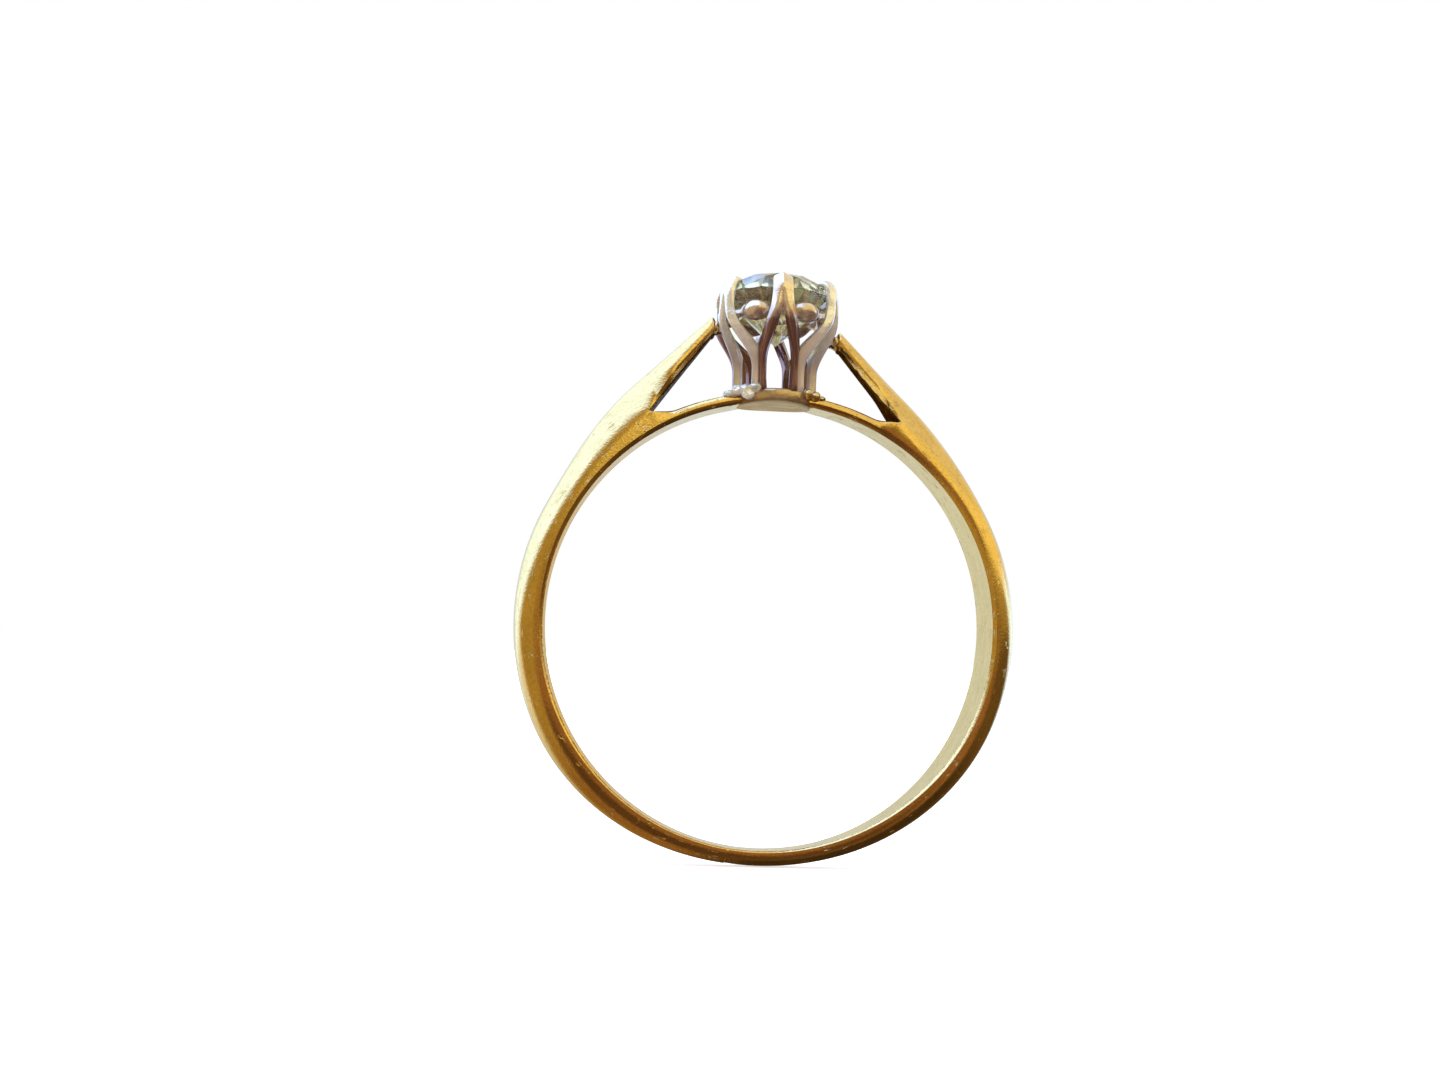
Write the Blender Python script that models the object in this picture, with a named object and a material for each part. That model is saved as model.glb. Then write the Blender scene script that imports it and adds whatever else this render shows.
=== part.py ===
"""Six-claw solitaire engagement ring: yellow-gold shank, white-metal coronet head, round brilliant.

Frame: origin at the centre of the finger hole, +Y along the finger (into the hole),
+Z towards the stone, +X to the wearer's side. Everything is in metres.
Polar angles in the XZ plane are measured from +X towards +Z, so -90 degrees is the
bottom of the band and +90 degrees is under the stone. Azimuths of the head are
measured about +Z from the front (-Y), so claw 0 faces the front.
"""

import math

import bmesh
import bpy
from mathutils import Vector

MM = 0.001
GAP = 0.012 * MM                     # clearance left between soldered neighbours

# Band
BORE_RADIUS = 8.5 * MM               # finger hole, 17.0 mm across
THICKNESS_BOTTOM = 0.61 * MM         # radial, worn thin under the finger
# Radial thickness from just below mid height upwards; the right side is worn more
THICKNESS_SIDE = {"left": 1.14 * MM, "right": 1.03 * MM}
THICKEN_FROM = (-90.0, -22.0)        # degrees, polar angles between which it thickens
WIDTH_BOTTOM = 1.05 * MM             # along the finger
WIDTH_SIDE = 2.79 * MM
WIDTH_UNDER_HEAD = 1.64 * MM
WIDEN_FROM = (-84.0, -10.0)          # degrees, polar angles between which the band widens
NARROW_FROM = (5.0, 90.0)            # degrees, where it narrows again towards the head
FLARE_START = 28.0                   # degrees, where the outside leaves the round
EDGE_ROUND = 0.10                    # share of the thickness rounded off at the bore's edge
SIDE_WALL = 0.48                     # share of the thickness where the crown starts
SEAM_ANGLE = -98.5                   # degrees, sizing joint beside the bottom
SEAM_THICKNESS = 0.07 * MM

# Fork: where the shank divides into a lower rail and an upper shoulder
FORK_ANGLE = 58.9                    # degrees
FORK_RADIUS = 9.30 * MM              # crotch of the fork
RAIL_THICKNESS = 0.42 * MM
RAIL_THINS_BY = 65.0                 # degrees, where the rail has its final thickness
SHOULDER_TIP_X = 2.50 * MM           # outer end of the shoulder, against the claws
SHOULDER_TIP_HEIGHT = 0.78 * MM
SHOULDER_TIP_WIDTH = 1.00 * MM
SHOULDER_SECTIONS = 9
# The outer line of each shoulder: its distance from the hole's centre and the
# direction of that perpendicular, left and right as worn
SHOULDER_LINE = {"left": (10.29 * MM, 46.4), "right": (9.95 * MM, 45.8)}

# Head
BASE_RADIUS = 1.50 * MM
BASE_TOP = 8.97 * MM
BASE_BEVEL = 0.08 * MM
BASE_BORE_RADIUS = 8.51 * MM         # the base is dressed a hair back from the bore
BASE_RING_STEP = 0.50 * MM           # between the rings of its hollowed underside
CLAW_COUNT = 6
# The claws in order round the head, and how far each prong was bent round sideways
# when the stone was set, in degrees
CLAW_LEAN = {
    "claw_front": 0.0,
    "claw_front_right": 2.0,
    "claw_back_right": 0.0,
    "claw_back": 0.0,
    "claw_back_left": 6.0,
    "claw_front_left": -1.0,
}
CLAW_RADIUS_FOOT = 1.66 * MM         # outside of the claws where they stand on the base
CLAW_RADIUS_TOP = 2.53 * MM          # outside of the claws beside the stone
CLAW_FLARE = (9.75 * MM, 11.75 * MM)  # heights between which the claws spread
CLAW_THICKNESS = 0.38 * MM           # radial
CLAW_EDGE = 0.4                      # thickness at a claw's edges as a share of its middle
LEG_MEET = 10.04 * MM                # neighbouring legs run side by side below this
LEG_SPLIT = 12.20 * MM               # each claw divides into two legs below this
LEG_WIDTH = 0.38 * MM
FOOT_WIDTH = 0.29 * MM
LEG_STATIONS = 10
PRONG_WIDTH = 0.66 * MM
# The prong's bend over the girdle, from its tip down to where it is upright:
# radius, height, outward tilt in degrees, then thickness and width as shares
PRONG_BEND = (
    (1.80 * MM, 13.11 * MM, 100.0, 0.55, 0.60),
    (2.00 * MM, 13.14 * MM, 80.0, 0.80, 0.85),
    (2.20 * MM, 13.06 * MM, 48.0, 0.95, 0.95),
    (2.32 * MM, 12.83 * MM, 18.0, 1.00, 1.00),
    (2.34 * MM, 12.48 * MM, 0.0, 1.00, 1.00),
)
SEAT_RADIUS = 1.71 * MM              # centre line of the bearing ring
SEAT_WIRE_RADIUS = 0.41 * MM
SEAT_HEIGHT = 11.89 * MM
SEAT_SIDES = 14

# Stone
STONE_RADIUS = 2.10 * MM
GIRDLE_TOP = 12.73 * MM
GIRDLE_THICKNESS = 0.09 * MM
TABLE_RADIUS = 1.25 * MM
TABLE_HEIGHT = 13.44 * MM
STAR_RADIUS = 1.62 * MM
PAVILION_ANGLE = 41.0                # degrees
LOWER_HALF_RADIUS = 0.52 * MM        # where the lower girdle facets meet near the culet
STONE_SEGMENTS = 32
STONE_FOLD = 8                       # main facets round the crown

# Solder: length along the rail and height up the claws
SOLDER_LEFT = (0.50 * MM, 0.45 * MM)
SOLDER_RIGHT = (0.32 * MM, 0.32 * MM)
SOLDER_HALF_WIDTH = 0.45 * MM
SOLDER_PLUG_HALF_WIDTH = 0.42 * MM
SOLDER_PLUG_REACH = 0.28 * MM        # up and down from the bearing ring's height

HOOP_STEP = 4.0                      # degrees between sections of the hoop
RAIL_STEP = 2.5                      # degrees between sections of the rail
RING_SEGMENTS = 40

GOLD = (0.83, 0.55, 0.17)
WHITE_METAL = (0.78, 0.76, 0.73)
GOLD_SOLDER = (0.78, 0.60, 0.30)
GREY_SOLDER = (0.55, 0.53, 0.50)
DIAMOND = (0.93, 0.94, 0.86)


def clear_scene():
    for obj in list(bpy.data.objects):
        bpy.data.objects.remove(obj, do_unlink=True)


def make_material(name, colour, metallic, roughness, transmission=0.0):
    material = bpy.data.materials.new(name)
    material.use_nodes = True
    shader = material.node_tree.nodes["Principled BSDF"]
    shader.inputs["Base Color"].default_value = (*colour, 1.0)
    shader.inputs["Metallic"].default_value = metallic
    shader.inputs["Roughness"].default_value = roughness
    shader.inputs["Transmission Weight"].default_value = transmission
    return material


def add_node(name, mesh, colour, metallic=1.0, roughness=0.2, smooth_angle=35.0, transmission=0.0):
    """Turn a bmesh into one named object with its own material."""
    bmesh.ops.recalc_face_normals(mesh, faces=mesh.faces)
    data = bpy.data.meshes.new(name)
    mesh.to_mesh(data)
    mesh.free()
    if smooth_angle:
        data.shade_smooth()
        data.set_sharp_from_angle(angle=math.radians(smooth_angle))
    node = bpy.data.objects.new(name, data)
    data.materials.append(make_material(name + "_finish", colour, metallic, roughness, transmission))
    bpy.context.scene.collection.objects.link(node)
    return node


def mix(start, end, amount):
    return start + (end - start) * amount


def ease(value, start, end):
    """0 before start, 1 after end, with a smooth ramp between."""
    amount = min(max((value - start) / (end - start), 0.0), 1.0)
    return amount * amount * (3.0 - 2.0 * amount)


def polar(radius, degrees):
    angle = math.radians(degrees)
    return Vector((radius * math.cos(angle), 0.0, radius * math.sin(angle)))


def loft(mesh, loops):
    """Bridge a list of equally long vertex loops, without caps."""
    count = len(loops[0])
    for near, far in zip(loops, loops[1:]):
        for index in range(count):
            following = (index + 1) % count
            mesh.faces.new((near[index], near[following], far[following], far[index]))


# ---------------------------------------------------------------- band

def line_radius(side, degrees):
    """Distance from the hole's centre to the shoulder's outer line at a polar angle."""
    distance, normal = SHOULDER_LINE[side]
    return distance / math.cos(math.radians(degrees - normal))


def hoop_outer(side, degrees):
    """Outer radius of the hoop: round, then flaring to meet the shoulder's straight line."""
    thickness = mix(THICKNESS_BOTTOM, THICKNESS_SIDE[side], ease(degrees, *THICKEN_FROM))
    if degrees <= FLARE_START:
        return BORE_RADIUS + thickness
    span = FORK_ANGLE - FLARE_START
    step = (degrees - FLARE_START) / span
    end = line_radius(side, FORK_ANGLE)
    lean = math.radians(FORK_ANGLE - SHOULDER_LINE[side][1])
    slope = end * math.tan(lean) * math.radians(span)
    rise = step * step * (3.0 - 2.0 * step)
    return mix(BORE_RADIUS + thickness, end, rise) + slope * (step ** 3 - step ** 2)


def band_width(degrees):
    if degrees < 0.0:
        return mix(WIDTH_BOTTOM, WIDTH_SIDE, ease(degrees, *WIDEN_FROM))
    return mix(WIDTH_SIDE, WIDTH_UNDER_HEAD, ease(degrees, *NARROW_FROM))


def d_profile(wall_top, point):
    """Right half of a D section as (across, up) from the bore to the crown, both 0 to 1.

    wall_top is where the straight side wall ends. point narrows the crown, from 0
    for a court section to 1 for a knife edge.
    """
    return [
        (0.88, 0.0),
        (1.0, EDGE_ROUND),
        (1.0, wall_top),
        (mix(0.94, 0.80, point), mix(wall_top, 1.0, 0.36)),
        (mix(0.75, 0.50, point), mix(wall_top, 1.0, 0.68)),
        (mix(0.42, 0.20, point), mix(wall_top, 1.0, 0.92)),
    ]


def section_points(inner, outer, width, half_profile):
    """Place a half profile, its middle and its mirror between an inner and an outer point."""
    points = list(half_profile)
    points.append((0.0, 1.0))
    points += [(-across, up) for across, up in reversed(half_profile)]
    placed = []
    for across, up in points:
        place = inner.lerp(outer, up)
        place.y = across * width / 2.0
        placed.append(place)
    return placed


def mirrored(points, side):
    if side == "left":
        return [Vector((-point.x, point.y, point.z)) for point in points]
    return points


def crotch_level(side):
    """Height of the fork's crotch as a share of the band's thickness there."""
    return (FORK_RADIUS - BORE_RADIUS) / (line_radius(side, FORK_ANGLE) - BORE_RADIUS)


def hoop_section(side, degrees):
    inner = polar(BORE_RADIUS, degrees)
    outer = polar(hoop_outer(side, degrees), degrees)
    # The straight side wall changes towards the fork, up to the height of the crotch
    wall_top = mix(SIDE_WALL, crotch_level(side), ease(degrees, FLARE_START, FORK_ANGLE))
    points = section_points(inner, outer, band_width(degrees), d_profile(wall_top, 0.0))
    return mirrored(points, side)


def rail_section(side, degrees):
    """The thin lower rail, from the crotch to the head's base."""
    thinned = ease(degrees, FORK_ANGLE - 2.0, RAIL_THINS_BY)
    rounded = ease(degrees, FORK_ANGLE, RAIL_THINS_BY)
    thickness = mix(FORK_RADIUS - BORE_RADIUS, RAIL_THICKNESS, thinned)
    inner = polar(BORE_RADIUS, degrees)
    outer = polar(BORE_RADIUS + thickness, degrees)
    half = [
        (0.88, 0.0),
        (1.0, mix(EDGE_ROUND, 0.25, rounded)),
        (1.0, mix(1.0, 0.80, rounded)),
        (0.55, 1.0),
    ]
    return mirrored(section_points(inner, outer, band_width(degrees), half), side)


def build_shank(side):
    """Half of the hoop from the sizing joint to the fork, with its rail on to the head."""
    mesh = bmesh.new()
    half_seam = math.degrees((SEAM_THICKNESS / 2.0 + GAP) / BORE_RADIUS)
    seam = SEAM_ANGLE if side == "right" else -180.0 - SEAM_ANGLE
    start = seam + half_seam
    count = math.ceil((FORK_ANGLE - start) / HOOP_STEP)
    hoop = []
    for index in range(count + 1):
        degrees = mix(start, FORK_ANGLE, index / count)
        hoop.append([mesh.verts.new(point) for point in hoop_section(side, degrees)])
    loft(mesh, hoop)
    mesh.faces.new(hoop[0])

    # At the fork the section divides: the lower part runs on as the rail and the
    # upper part ends in the flat face that the shoulder is soldered to.
    fork = hoop[-1]
    crotch = [mesh.verts.new(point) for point in rail_section(side, FORK_ANGLE)[3:6]]
    mesh.faces.new(fork[2:-2] + crotch[::-1])
    rails = [fork[:3] + crotch + fork[-3:]]
    end_x = BASE_RADIUS + GAP
    end = math.degrees(math.acos(end_x / BORE_RADIUS))
    count = math.ceil((end - FORK_ANGLE) / RAIL_STEP)
    for index in range(1, count + 1):
        points = rail_section(side, mix(FORK_ANGLE, end, index / count))
        if index == count:
            points = [Vector((math.copysign(end_x, point.x), point.y, point.z)) for point in points]
        rails.append([mesh.verts.new(point) for point in points])
    loft(mesh, rails)
    mesh.faces.new(rails[-1])
    return add_node("shank_" + side, mesh, GOLD, roughness=0.18)


def build_shoulder(side):
    """Tapering knife-edged shoulder from the fork up to the claws."""
    mesh = bmesh.new()
    distance, normal = SHOULDER_LINE[side]
    along = math.radians(normal)
    tip_height = (distance - SHOULDER_TIP_X * math.cos(along)) / math.sin(along)
    tip_outer = Vector((SHOULDER_TIP_X, 0.0, tip_height))
    tip_inner = tip_outer - Vector((0.0, 0.0, SHOULDER_TIP_HEIGHT))
    root = FORK_ANGLE + math.degrees(GAP / FORK_RADIUS)
    root_outer = polar(line_radius(side, root), root)
    root_inner = polar(FORK_RADIUS, root)
    loops = []
    for index in range(SHOULDER_SECTIONS + 1):
        amount = index / SHOULDER_SECTIONS
        inner = root_inner.lerp(tip_inner, amount)
        outer = root_outer.lerp(tip_outer, amount)
        width = mix(band_width(FORK_ANGLE), SHOULDER_TIP_WIDTH, amount)
        wall_top = mix(0.02, 0.16, ease(amount, 0.0, 0.3))
        lower_edge = mix(0.999, 0.86, ease(amount, 0.0, 0.2))
        half = [(lower_edge, 0.0)] + d_profile(wall_top, ease(amount, 0.0, 0.6))[2:]
        points = mirrored(section_points(inner, outer, width, half), side)
        loops.append([mesh.verts.new(point) for point in points])
    loft(mesh, loops)
    mesh.faces.new(loops[0])
    mesh.faces.new(loops[-1])
    return add_node("shoulder_" + side, mesh, GOLD, roughness=0.18)


def build_sizing_solder():
    """Thin wafer of solder where the band was cut and closed again."""
    mesh = bmesh.new()
    half = math.degrees(SEAM_THICKNESS / 2.0 / BORE_RADIUS)
    loops = []
    for degrees in (SEAM_ANGLE - half, SEAM_ANGLE + half):
        loops.append([mesh.verts.new(point) for point in hoop_section("right", degrees)])
    loft(mesh, loops)
    mesh.faces.new(loops[0])
    mesh.faces.new(loops[1])
    return add_node("sizing_solder", mesh, GOLD_SOLDER, roughness=0.3)


# ---------------------------------------------------------------- head

def turned_stations(mesh, profile):
    """A (radius, height) profile's vertices at each turn about +Z; height may depend on x."""
    stations = []
    for index in range(RING_SEGMENTS):
        angle = 2.0 * math.pi * index / RING_SEGMENTS
        station = []
        for radius, height in profile:
            x = radius * math.sin(angle)
            z = height(x) if callable(height) else height
            station.append(mesh.verts.new((x, -radius * math.cos(angle), z)))
        stations.append(station)
    return stations


def build_base_plate():
    """Round plate that closes the gap in the band and carries the claws' feet."""
    mesh = bmesh.new()

    def bore(x):
        return math.sqrt(BASE_BORE_RADIUS ** 2 - x * x)

    rings = round(BASE_RADIUS / BASE_RING_STEP)
    profile = [(BASE_RING_STEP * index, bore) for index in range(1, rings + 1)]
    profile.append((BASE_RADIUS, BASE_TOP - BASE_BEVEL))
    profile.append((BASE_RADIUS - BASE_BEVEL, BASE_TOP))
    stations = turned_stations(mesh, profile)
    for near, far in zip(stations, stations[1:] + stations[:1]):
        for index in range(len(profile) - 1):
            mesh.faces.new((near[index], near[index + 1], far[index + 1], far[index]))
    # The underside's innermost ring closes on a point, the top is one flat face
    middle = mesh.verts.new((0.0, 0.0, BASE_BORE_RADIUS))
    for near, far in zip(stations, stations[1:] + stations[:1]):
        mesh.faces.new((middle, near[0], far[0]))
    mesh.faces.new([station[-1] for station in stations])
    return add_node("base_plate", mesh, WHITE_METAL)


def culet_height():
    drop = STONE_RADIUS * math.tan(math.radians(PAVILION_ANGLE))
    return GIRDLE_TOP - GIRDLE_THICKNESS - drop


def build_seat_ring():
    """Round-wire bearing ring, its inner top edge cut to the stone's pavilion."""
    mesh = bmesh.new()
    slope = math.radians(PAVILION_ANGLE)
    culet = culet_height()
    profile = []
    for index in range(SEAT_SIDES):
        angle = 2.0 * math.pi * index / SEAT_SIDES
        radius = SEAT_RADIUS + SEAT_WIRE_RADIUS * math.cos(angle)
        height = SEAT_HEIGHT + SEAT_WIRE_RADIUS * math.sin(angle)
        # Depth of this point inside the stone's cone, along the cone's normal
        depth = (height - culet) * math.cos(slope) - radius * math.sin(slope) + 2.0 * GAP
        if depth > 0.0:
            radius += depth * math.sin(slope)
            height -= depth * math.cos(slope)
        profile.append((radius, height))
    stations = turned_stations(mesh, profile)
    loft(mesh, stations + [stations[0]])
    return add_node("seat_ring", mesh, WHITE_METAL)


def claw_outer(height):
    return mix(CLAW_RADIUS_FOOT, CLAW_RADIUS_TOP, ease(height, *CLAW_FLARE))


def leg_station(height):
    """A leg at a height: centre radius, outward direction, half thickness, offset, half width."""
    probe = 0.05 * MM
    spread = claw_outer(height + probe) - claw_outer(height - probe)
    run = Vector((spread, 2.0 * probe)).normalized()
    outward = Vector((run.y, -run.x))
    half = CLAW_THICKNESS / 2.0
    radius = claw_outer(height) - half / outward.x
    half_share = math.pi / CLAW_COUNT
    meet = half_share * (claw_outer(LEG_MEET) - half) - GAP - FOOT_WIDTH / 2.0
    amount = min((LEG_SPLIT - height) / (LEG_SPLIT - LEG_MEET), 1.0)
    width = mix(LEG_WIDTH, FOOT_WIDTH, ease(amount, 0.55, 1.0))
    offset = mix(PRONG_WIDTH / 2.0 - LEG_WIDTH / 2.0, meet, amount)
    if height < LEG_MEET:
        offset = half_share * radius - GAP - FOOT_WIDTH / 2.0
    return radius, outward, half, offset, width / 2.0


def build_claw(name, azimuth, lean):
    """One claw: a bent prong over the stone that divides into two legs, an inverted V."""
    mesh = bmesh.new()

    def place(radius, height, across):
        facing = azimuth + lean * ease(height, LEG_MEET, LEG_SPLIT)
        angle = math.radians(facing) + across / radius
        return mesh.verts.new((radius * math.sin(angle), -radius * math.cos(angle), height))

    def strip(radius, height, outward, columns):
        """Front and back vertices of one station; columns are (across, half thickness)."""
        front = []
        back = []
        for across, half in columns:
            front.append(place(radius + outward.x * half, height + outward.y * half, across))
            back.append(place(radius - outward.x * half, height - outward.y * half, across))
        return front, back

    def columns_across(middle, width, half, count):
        """Columns over a width, thick in the middle and thin at both edges."""
        columns = []
        for index in range(count):
            across = 2.0 * index / (count - 1) - 1.0
            thick = half * mix(1.0, CLAW_EDGE, across * across)
            columns.append((middle + across * width / 2.0, thick))
        return columns

    def skin(upper, lower):
        """Faces between two stations of the same bar, front and back and both edges."""
        for above, below in zip(upper, lower):
            for index in range(len(above) - 1):
                mesh.faces.new((above[index], above[index + 1], below[index + 1], below[index]))
        for edge in (0, -1):
            mesh.faces.new((upper[0][edge], upper[1][edge], lower[1][edge], lower[0][edge]))

    stations = []
    for radius, height, tilt, thick, wide in PRONG_BEND:
        outward = Vector((math.cos(math.radians(tilt)), math.sin(math.radians(tilt))))
        half = CLAW_THICKNESS / 2.0 * thick
        columns = columns_across(0.0, PRONG_WIDTH * wide, half, 5)
        stations.append(strip(radius, height, outward, columns))
    for upper, lower in zip(stations, stations[1:]):
        skin(upper, lower)
    tip_front, tip_back = stations[0]
    mesh.faces.new(tip_front + tip_back[::-1])

    # Two legs of three columns each; the prong's middle column opens into the crotch
    split_front, split_back = stations[-1]
    top = LEG_SPLIT - 0.12 * MM
    bottom = BASE_TOP + GAP
    for sign in (-1, 1):
        if sign < 0:
            above = (split_front[:3], split_back[:3])
        else:
            above = (split_front[2:], split_back[2:])
        for index in range(LEG_STATIONS):
            height = mix(top, bottom, index / (LEG_STATIONS - 1))
            radius, outward, half, offset, half_width = leg_station(height)
            columns = columns_across(sign * offset, 2.0 * half_width, half, 3)
            station = strip(radius, height, outward, columns)
            skin(above, station)
            above = station
        for vertex in above[0] + above[1]:
            vertex.co.z = bottom
        mesh.faces.new(above[0] + above[1][::-1])
    return add_node(name, mesh, WHITE_METAL, smooth_angle=50.0)


def build_claws():
    for index, (name, lean) in enumerate(CLAW_LEAN.items()):
        build_claw(name, index * 360.0 / CLAW_COUNT, lean)


# ---------------------------------------------------------------- stone

def stone_planes():
    """Facet planes of a round brilliant, each as a point and an outward normal."""
    step = 360.0 / STONE_FOLD
    girdle_low = GIRDLE_TOP - GIRDLE_THICKNESS
    culet = Vector((0.0, 0.0, culet_height()))
    crown_slope = (TABLE_HEIGHT - GIRDLE_TOP) / (STONE_RADIUS - TABLE_RADIUS)
    pavilion_slope = math.tan(math.radians(PAVILION_ANGLE))
    reach = math.cos(math.radians(step / 2.0))
    star_height = TABLE_HEIGHT - (STAR_RADIUS * reach - TABLE_RADIUS) * crown_slope
    low_height = culet.z + LOWER_HALF_RADIUS * reach * pavilion_slope

    def at(radius, degrees, height):
        angle = math.radians(degrees)
        return Vector((radius * math.cos(angle), radius * math.sin(angle), height))

    def facet(first, second, third):
        normal = (second - first).cross(third - first).normalized()
        centre = Vector((0.0, 0.0, GIRDLE_TOP))
        if normal.dot(first - centre) < 0.0:
            normal = -normal
        return first, normal

    planes = [(Vector((0.0, 0.0, TABLE_HEIGHT)), Vector((0.0, 0.0, 1.0)))]
    for index in range(STONE_FOLD):
        main = index * step
        middle = main + step / 2.0
        star = at(STAR_RADIUS, middle, star_height)
        low = at(LOWER_HALF_RADIUS, middle, low_height)
        corner = at(TABLE_RADIUS, main, TABLE_HEIGHT)
        next_corner = at(TABLE_RADIUS, main + step, TABLE_HEIGHT)
        planes.append(facet(corner, at(STONE_RADIUS, main, GIRDLE_TOP), star))
        planes.append(facet(corner, next_corner, star))
        planes.append(facet(culet, at(STONE_RADIUS, main, girdle_low), low))
        for near in (main, main + step):
            high_near = at(STONE_RADIUS, near, GIRDLE_TOP)
            low_near = at(STONE_RADIUS, near, girdle_low)
            planes.append(facet(star, high_near, at(STONE_RADIUS, middle, GIRDLE_TOP)))
            planes.append(facet(low, low_near, at(STONE_RADIUS, middle, girdle_low)))
    return planes


def build_stone():
    """Cut the stone from a round blank, one facet plane at a time."""
    mesh = bmesh.new()
    spare = 0.5 * MM
    loops = []
    for height in (culet_height() - spare, TABLE_HEIGHT + spare):
        loop = []
        for index in range(STONE_SEGMENTS):
            angle = 2.0 * math.pi * index / STONE_SEGMENTS
            place = (STONE_RADIUS * math.cos(angle), STONE_RADIUS * math.sin(angle), height)
            loop.append(mesh.verts.new(place))
        mesh.faces.new(loop)
        loops.append(loop)
    loft(mesh, loops)
    for point, normal in stone_planes():
        geometry = mesh.verts[:] + mesh.edges[:] + mesh.faces[:]
        cut = bmesh.ops.bisect_plane(mesh, geom=geometry, dist=1e-8, plane_co=point,
                                     plane_no=normal, clear_outer=True)
        edges = [item for item in cut["geom_cut"] if isinstance(item, bmesh.types.BMEdge)]
        edges = [edge for edge in edges if edge.is_boundary]
        if edges:
            bmesh.ops.edgeloop_fill(mesh, edges=edges)
    return add_node("diamond", mesh, DIAMOND, metallic=0.0, roughness=0.02,
                    smooth_angle=0.0, transmission=1.0)


# ---------------------------------------------------------------- solder

def prism(mesh, outline, half_width, taper):
    """Extrude an (x, z) outline along Y both ways, its ends shrunk towards its centre."""
    centre_x = sum(x for x, z in outline) / len(outline)
    centre_z = sum(z for x, z in outline) / len(outline)
    loops = []
    for place, scale in ((-1.0, taper), (-0.6, 1.0), (0.6, 1.0), (1.0, taper)):
        loop = []
        for x, z in outline:
            point = (mix(centre_x, x, scale), place * half_width, mix(centre_z, z, scale))
            loop.append(mesh.verts.new(point))
        loops.append(loop)
    loft(mesh, loops)
    mesh.faces.new(loops[0])
    mesh.faces.new(loops[-1])


def build_base_solder(side, colour, length, height):
    """Fillet of solder in the corner between the rail's top and the claws' feet."""
    sign = -1.0 if side == "left" else 1.0
    rail_top = BORE_RADIUS + RAIL_THICKNESS + GAP
    foot = CLAW_RADIUS_FOOT + GAP

    def on_rail(x):
        return math.sqrt(rail_top ** 2 - x * x)

    low = on_rail(foot)
    outline = [
        (foot, low),
        (foot + length, on_rail(foot + length)),
        (foot + length * 0.92, on_rail(foot + length) + 0.05 * MM),
        (foot + length * 0.35, low + height * 0.30),
        (foot + 0.05 * MM, low + height),
        (foot, low + height),
    ]
    mesh = bmesh.new()
    prism(mesh, [(sign * x, z) for x, z in outline], SOLDER_HALF_WIDTH, 0.75)
    return add_node("base_solder_" + side, mesh, colour, roughness=0.35)


def build_shoulder_solder(side):
    """Plug of solder that joins the shoulder's tip to the seat ring between two claws."""
    sign = -1.0 if side == "left" else 1.0
    inner = SEAT_RADIUS + SEAT_WIRE_RADIUS + GAP
    outer = SHOULDER_TIP_X - GAP
    outline = [
        (inner, SEAT_HEIGHT - SOLDER_PLUG_REACH * 0.8),
        (outer, SEAT_HEIGHT - SOLDER_PLUG_REACH * 1.4),
        (outer, SEAT_HEIGHT - SOLDER_PLUG_REACH * 0.4),
        (inner, SEAT_HEIGHT + SOLDER_PLUG_REACH * 0.6),
    ]
    mesh = bmesh.new()
    prism(mesh, [(sign * x, z) for x, z in outline], SOLDER_PLUG_HALF_WIDTH, 0.8)
    return add_node("shoulder_solder_" + side, mesh, GOLD_SOLDER, roughness=0.3)


def main():
    clear_scene()
    for side in ("left", "right"):
        build_shank(side)
        build_shoulder(side)
        build_shoulder_solder(side)
    build_sizing_solder()
    build_base_plate()
    build_seat_ring()
    build_claws()
    build_stone()
    build_base_solder("left", GREY_SOLDER, *SOLDER_LEFT)
    build_base_solder("right", GOLD_SOLDER, *SOLDER_RIGHT)


main()
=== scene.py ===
"""Looks of the solitaire engagement ring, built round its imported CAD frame.

Shapes are worked out in millimetres and turned into metres as each mesh is made.
The frame is the CAD's: the origin is the centre of the finger hole, +Y runs along
the finger, +Z points to the stone. Polar angles in the XZ plane run from +X
towards +Z. Azimuths of the head run about +Z from the front (-Y).
"""

import math

import bmesh
import bpy
from mathutils import Matrix, Vector, noise


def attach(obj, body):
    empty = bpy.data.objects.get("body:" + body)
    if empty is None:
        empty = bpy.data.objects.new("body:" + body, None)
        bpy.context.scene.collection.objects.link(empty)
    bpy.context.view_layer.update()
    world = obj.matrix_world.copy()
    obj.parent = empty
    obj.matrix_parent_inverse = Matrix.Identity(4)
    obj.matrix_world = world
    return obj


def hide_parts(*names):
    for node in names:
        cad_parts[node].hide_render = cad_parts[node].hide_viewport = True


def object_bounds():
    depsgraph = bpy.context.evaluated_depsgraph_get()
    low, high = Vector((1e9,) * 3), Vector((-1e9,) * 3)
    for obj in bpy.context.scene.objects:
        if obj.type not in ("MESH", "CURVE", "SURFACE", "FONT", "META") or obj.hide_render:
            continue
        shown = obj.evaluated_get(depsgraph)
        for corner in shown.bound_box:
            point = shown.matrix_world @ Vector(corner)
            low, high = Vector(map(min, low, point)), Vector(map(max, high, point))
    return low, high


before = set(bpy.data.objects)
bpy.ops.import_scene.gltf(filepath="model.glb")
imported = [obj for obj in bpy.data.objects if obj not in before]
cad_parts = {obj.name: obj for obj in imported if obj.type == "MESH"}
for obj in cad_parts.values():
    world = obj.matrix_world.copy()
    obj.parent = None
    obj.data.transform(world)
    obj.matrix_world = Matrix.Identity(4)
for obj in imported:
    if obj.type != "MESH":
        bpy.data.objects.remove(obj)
CAD_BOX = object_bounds()
TO_METRES = 0.001
RIGHTWARD = (1.0, 0.0, 0.0)
BEHIND = (0.0, 1.0, 0.0)
UPWARD = (0.0, 0.0, 1.0)

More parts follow.
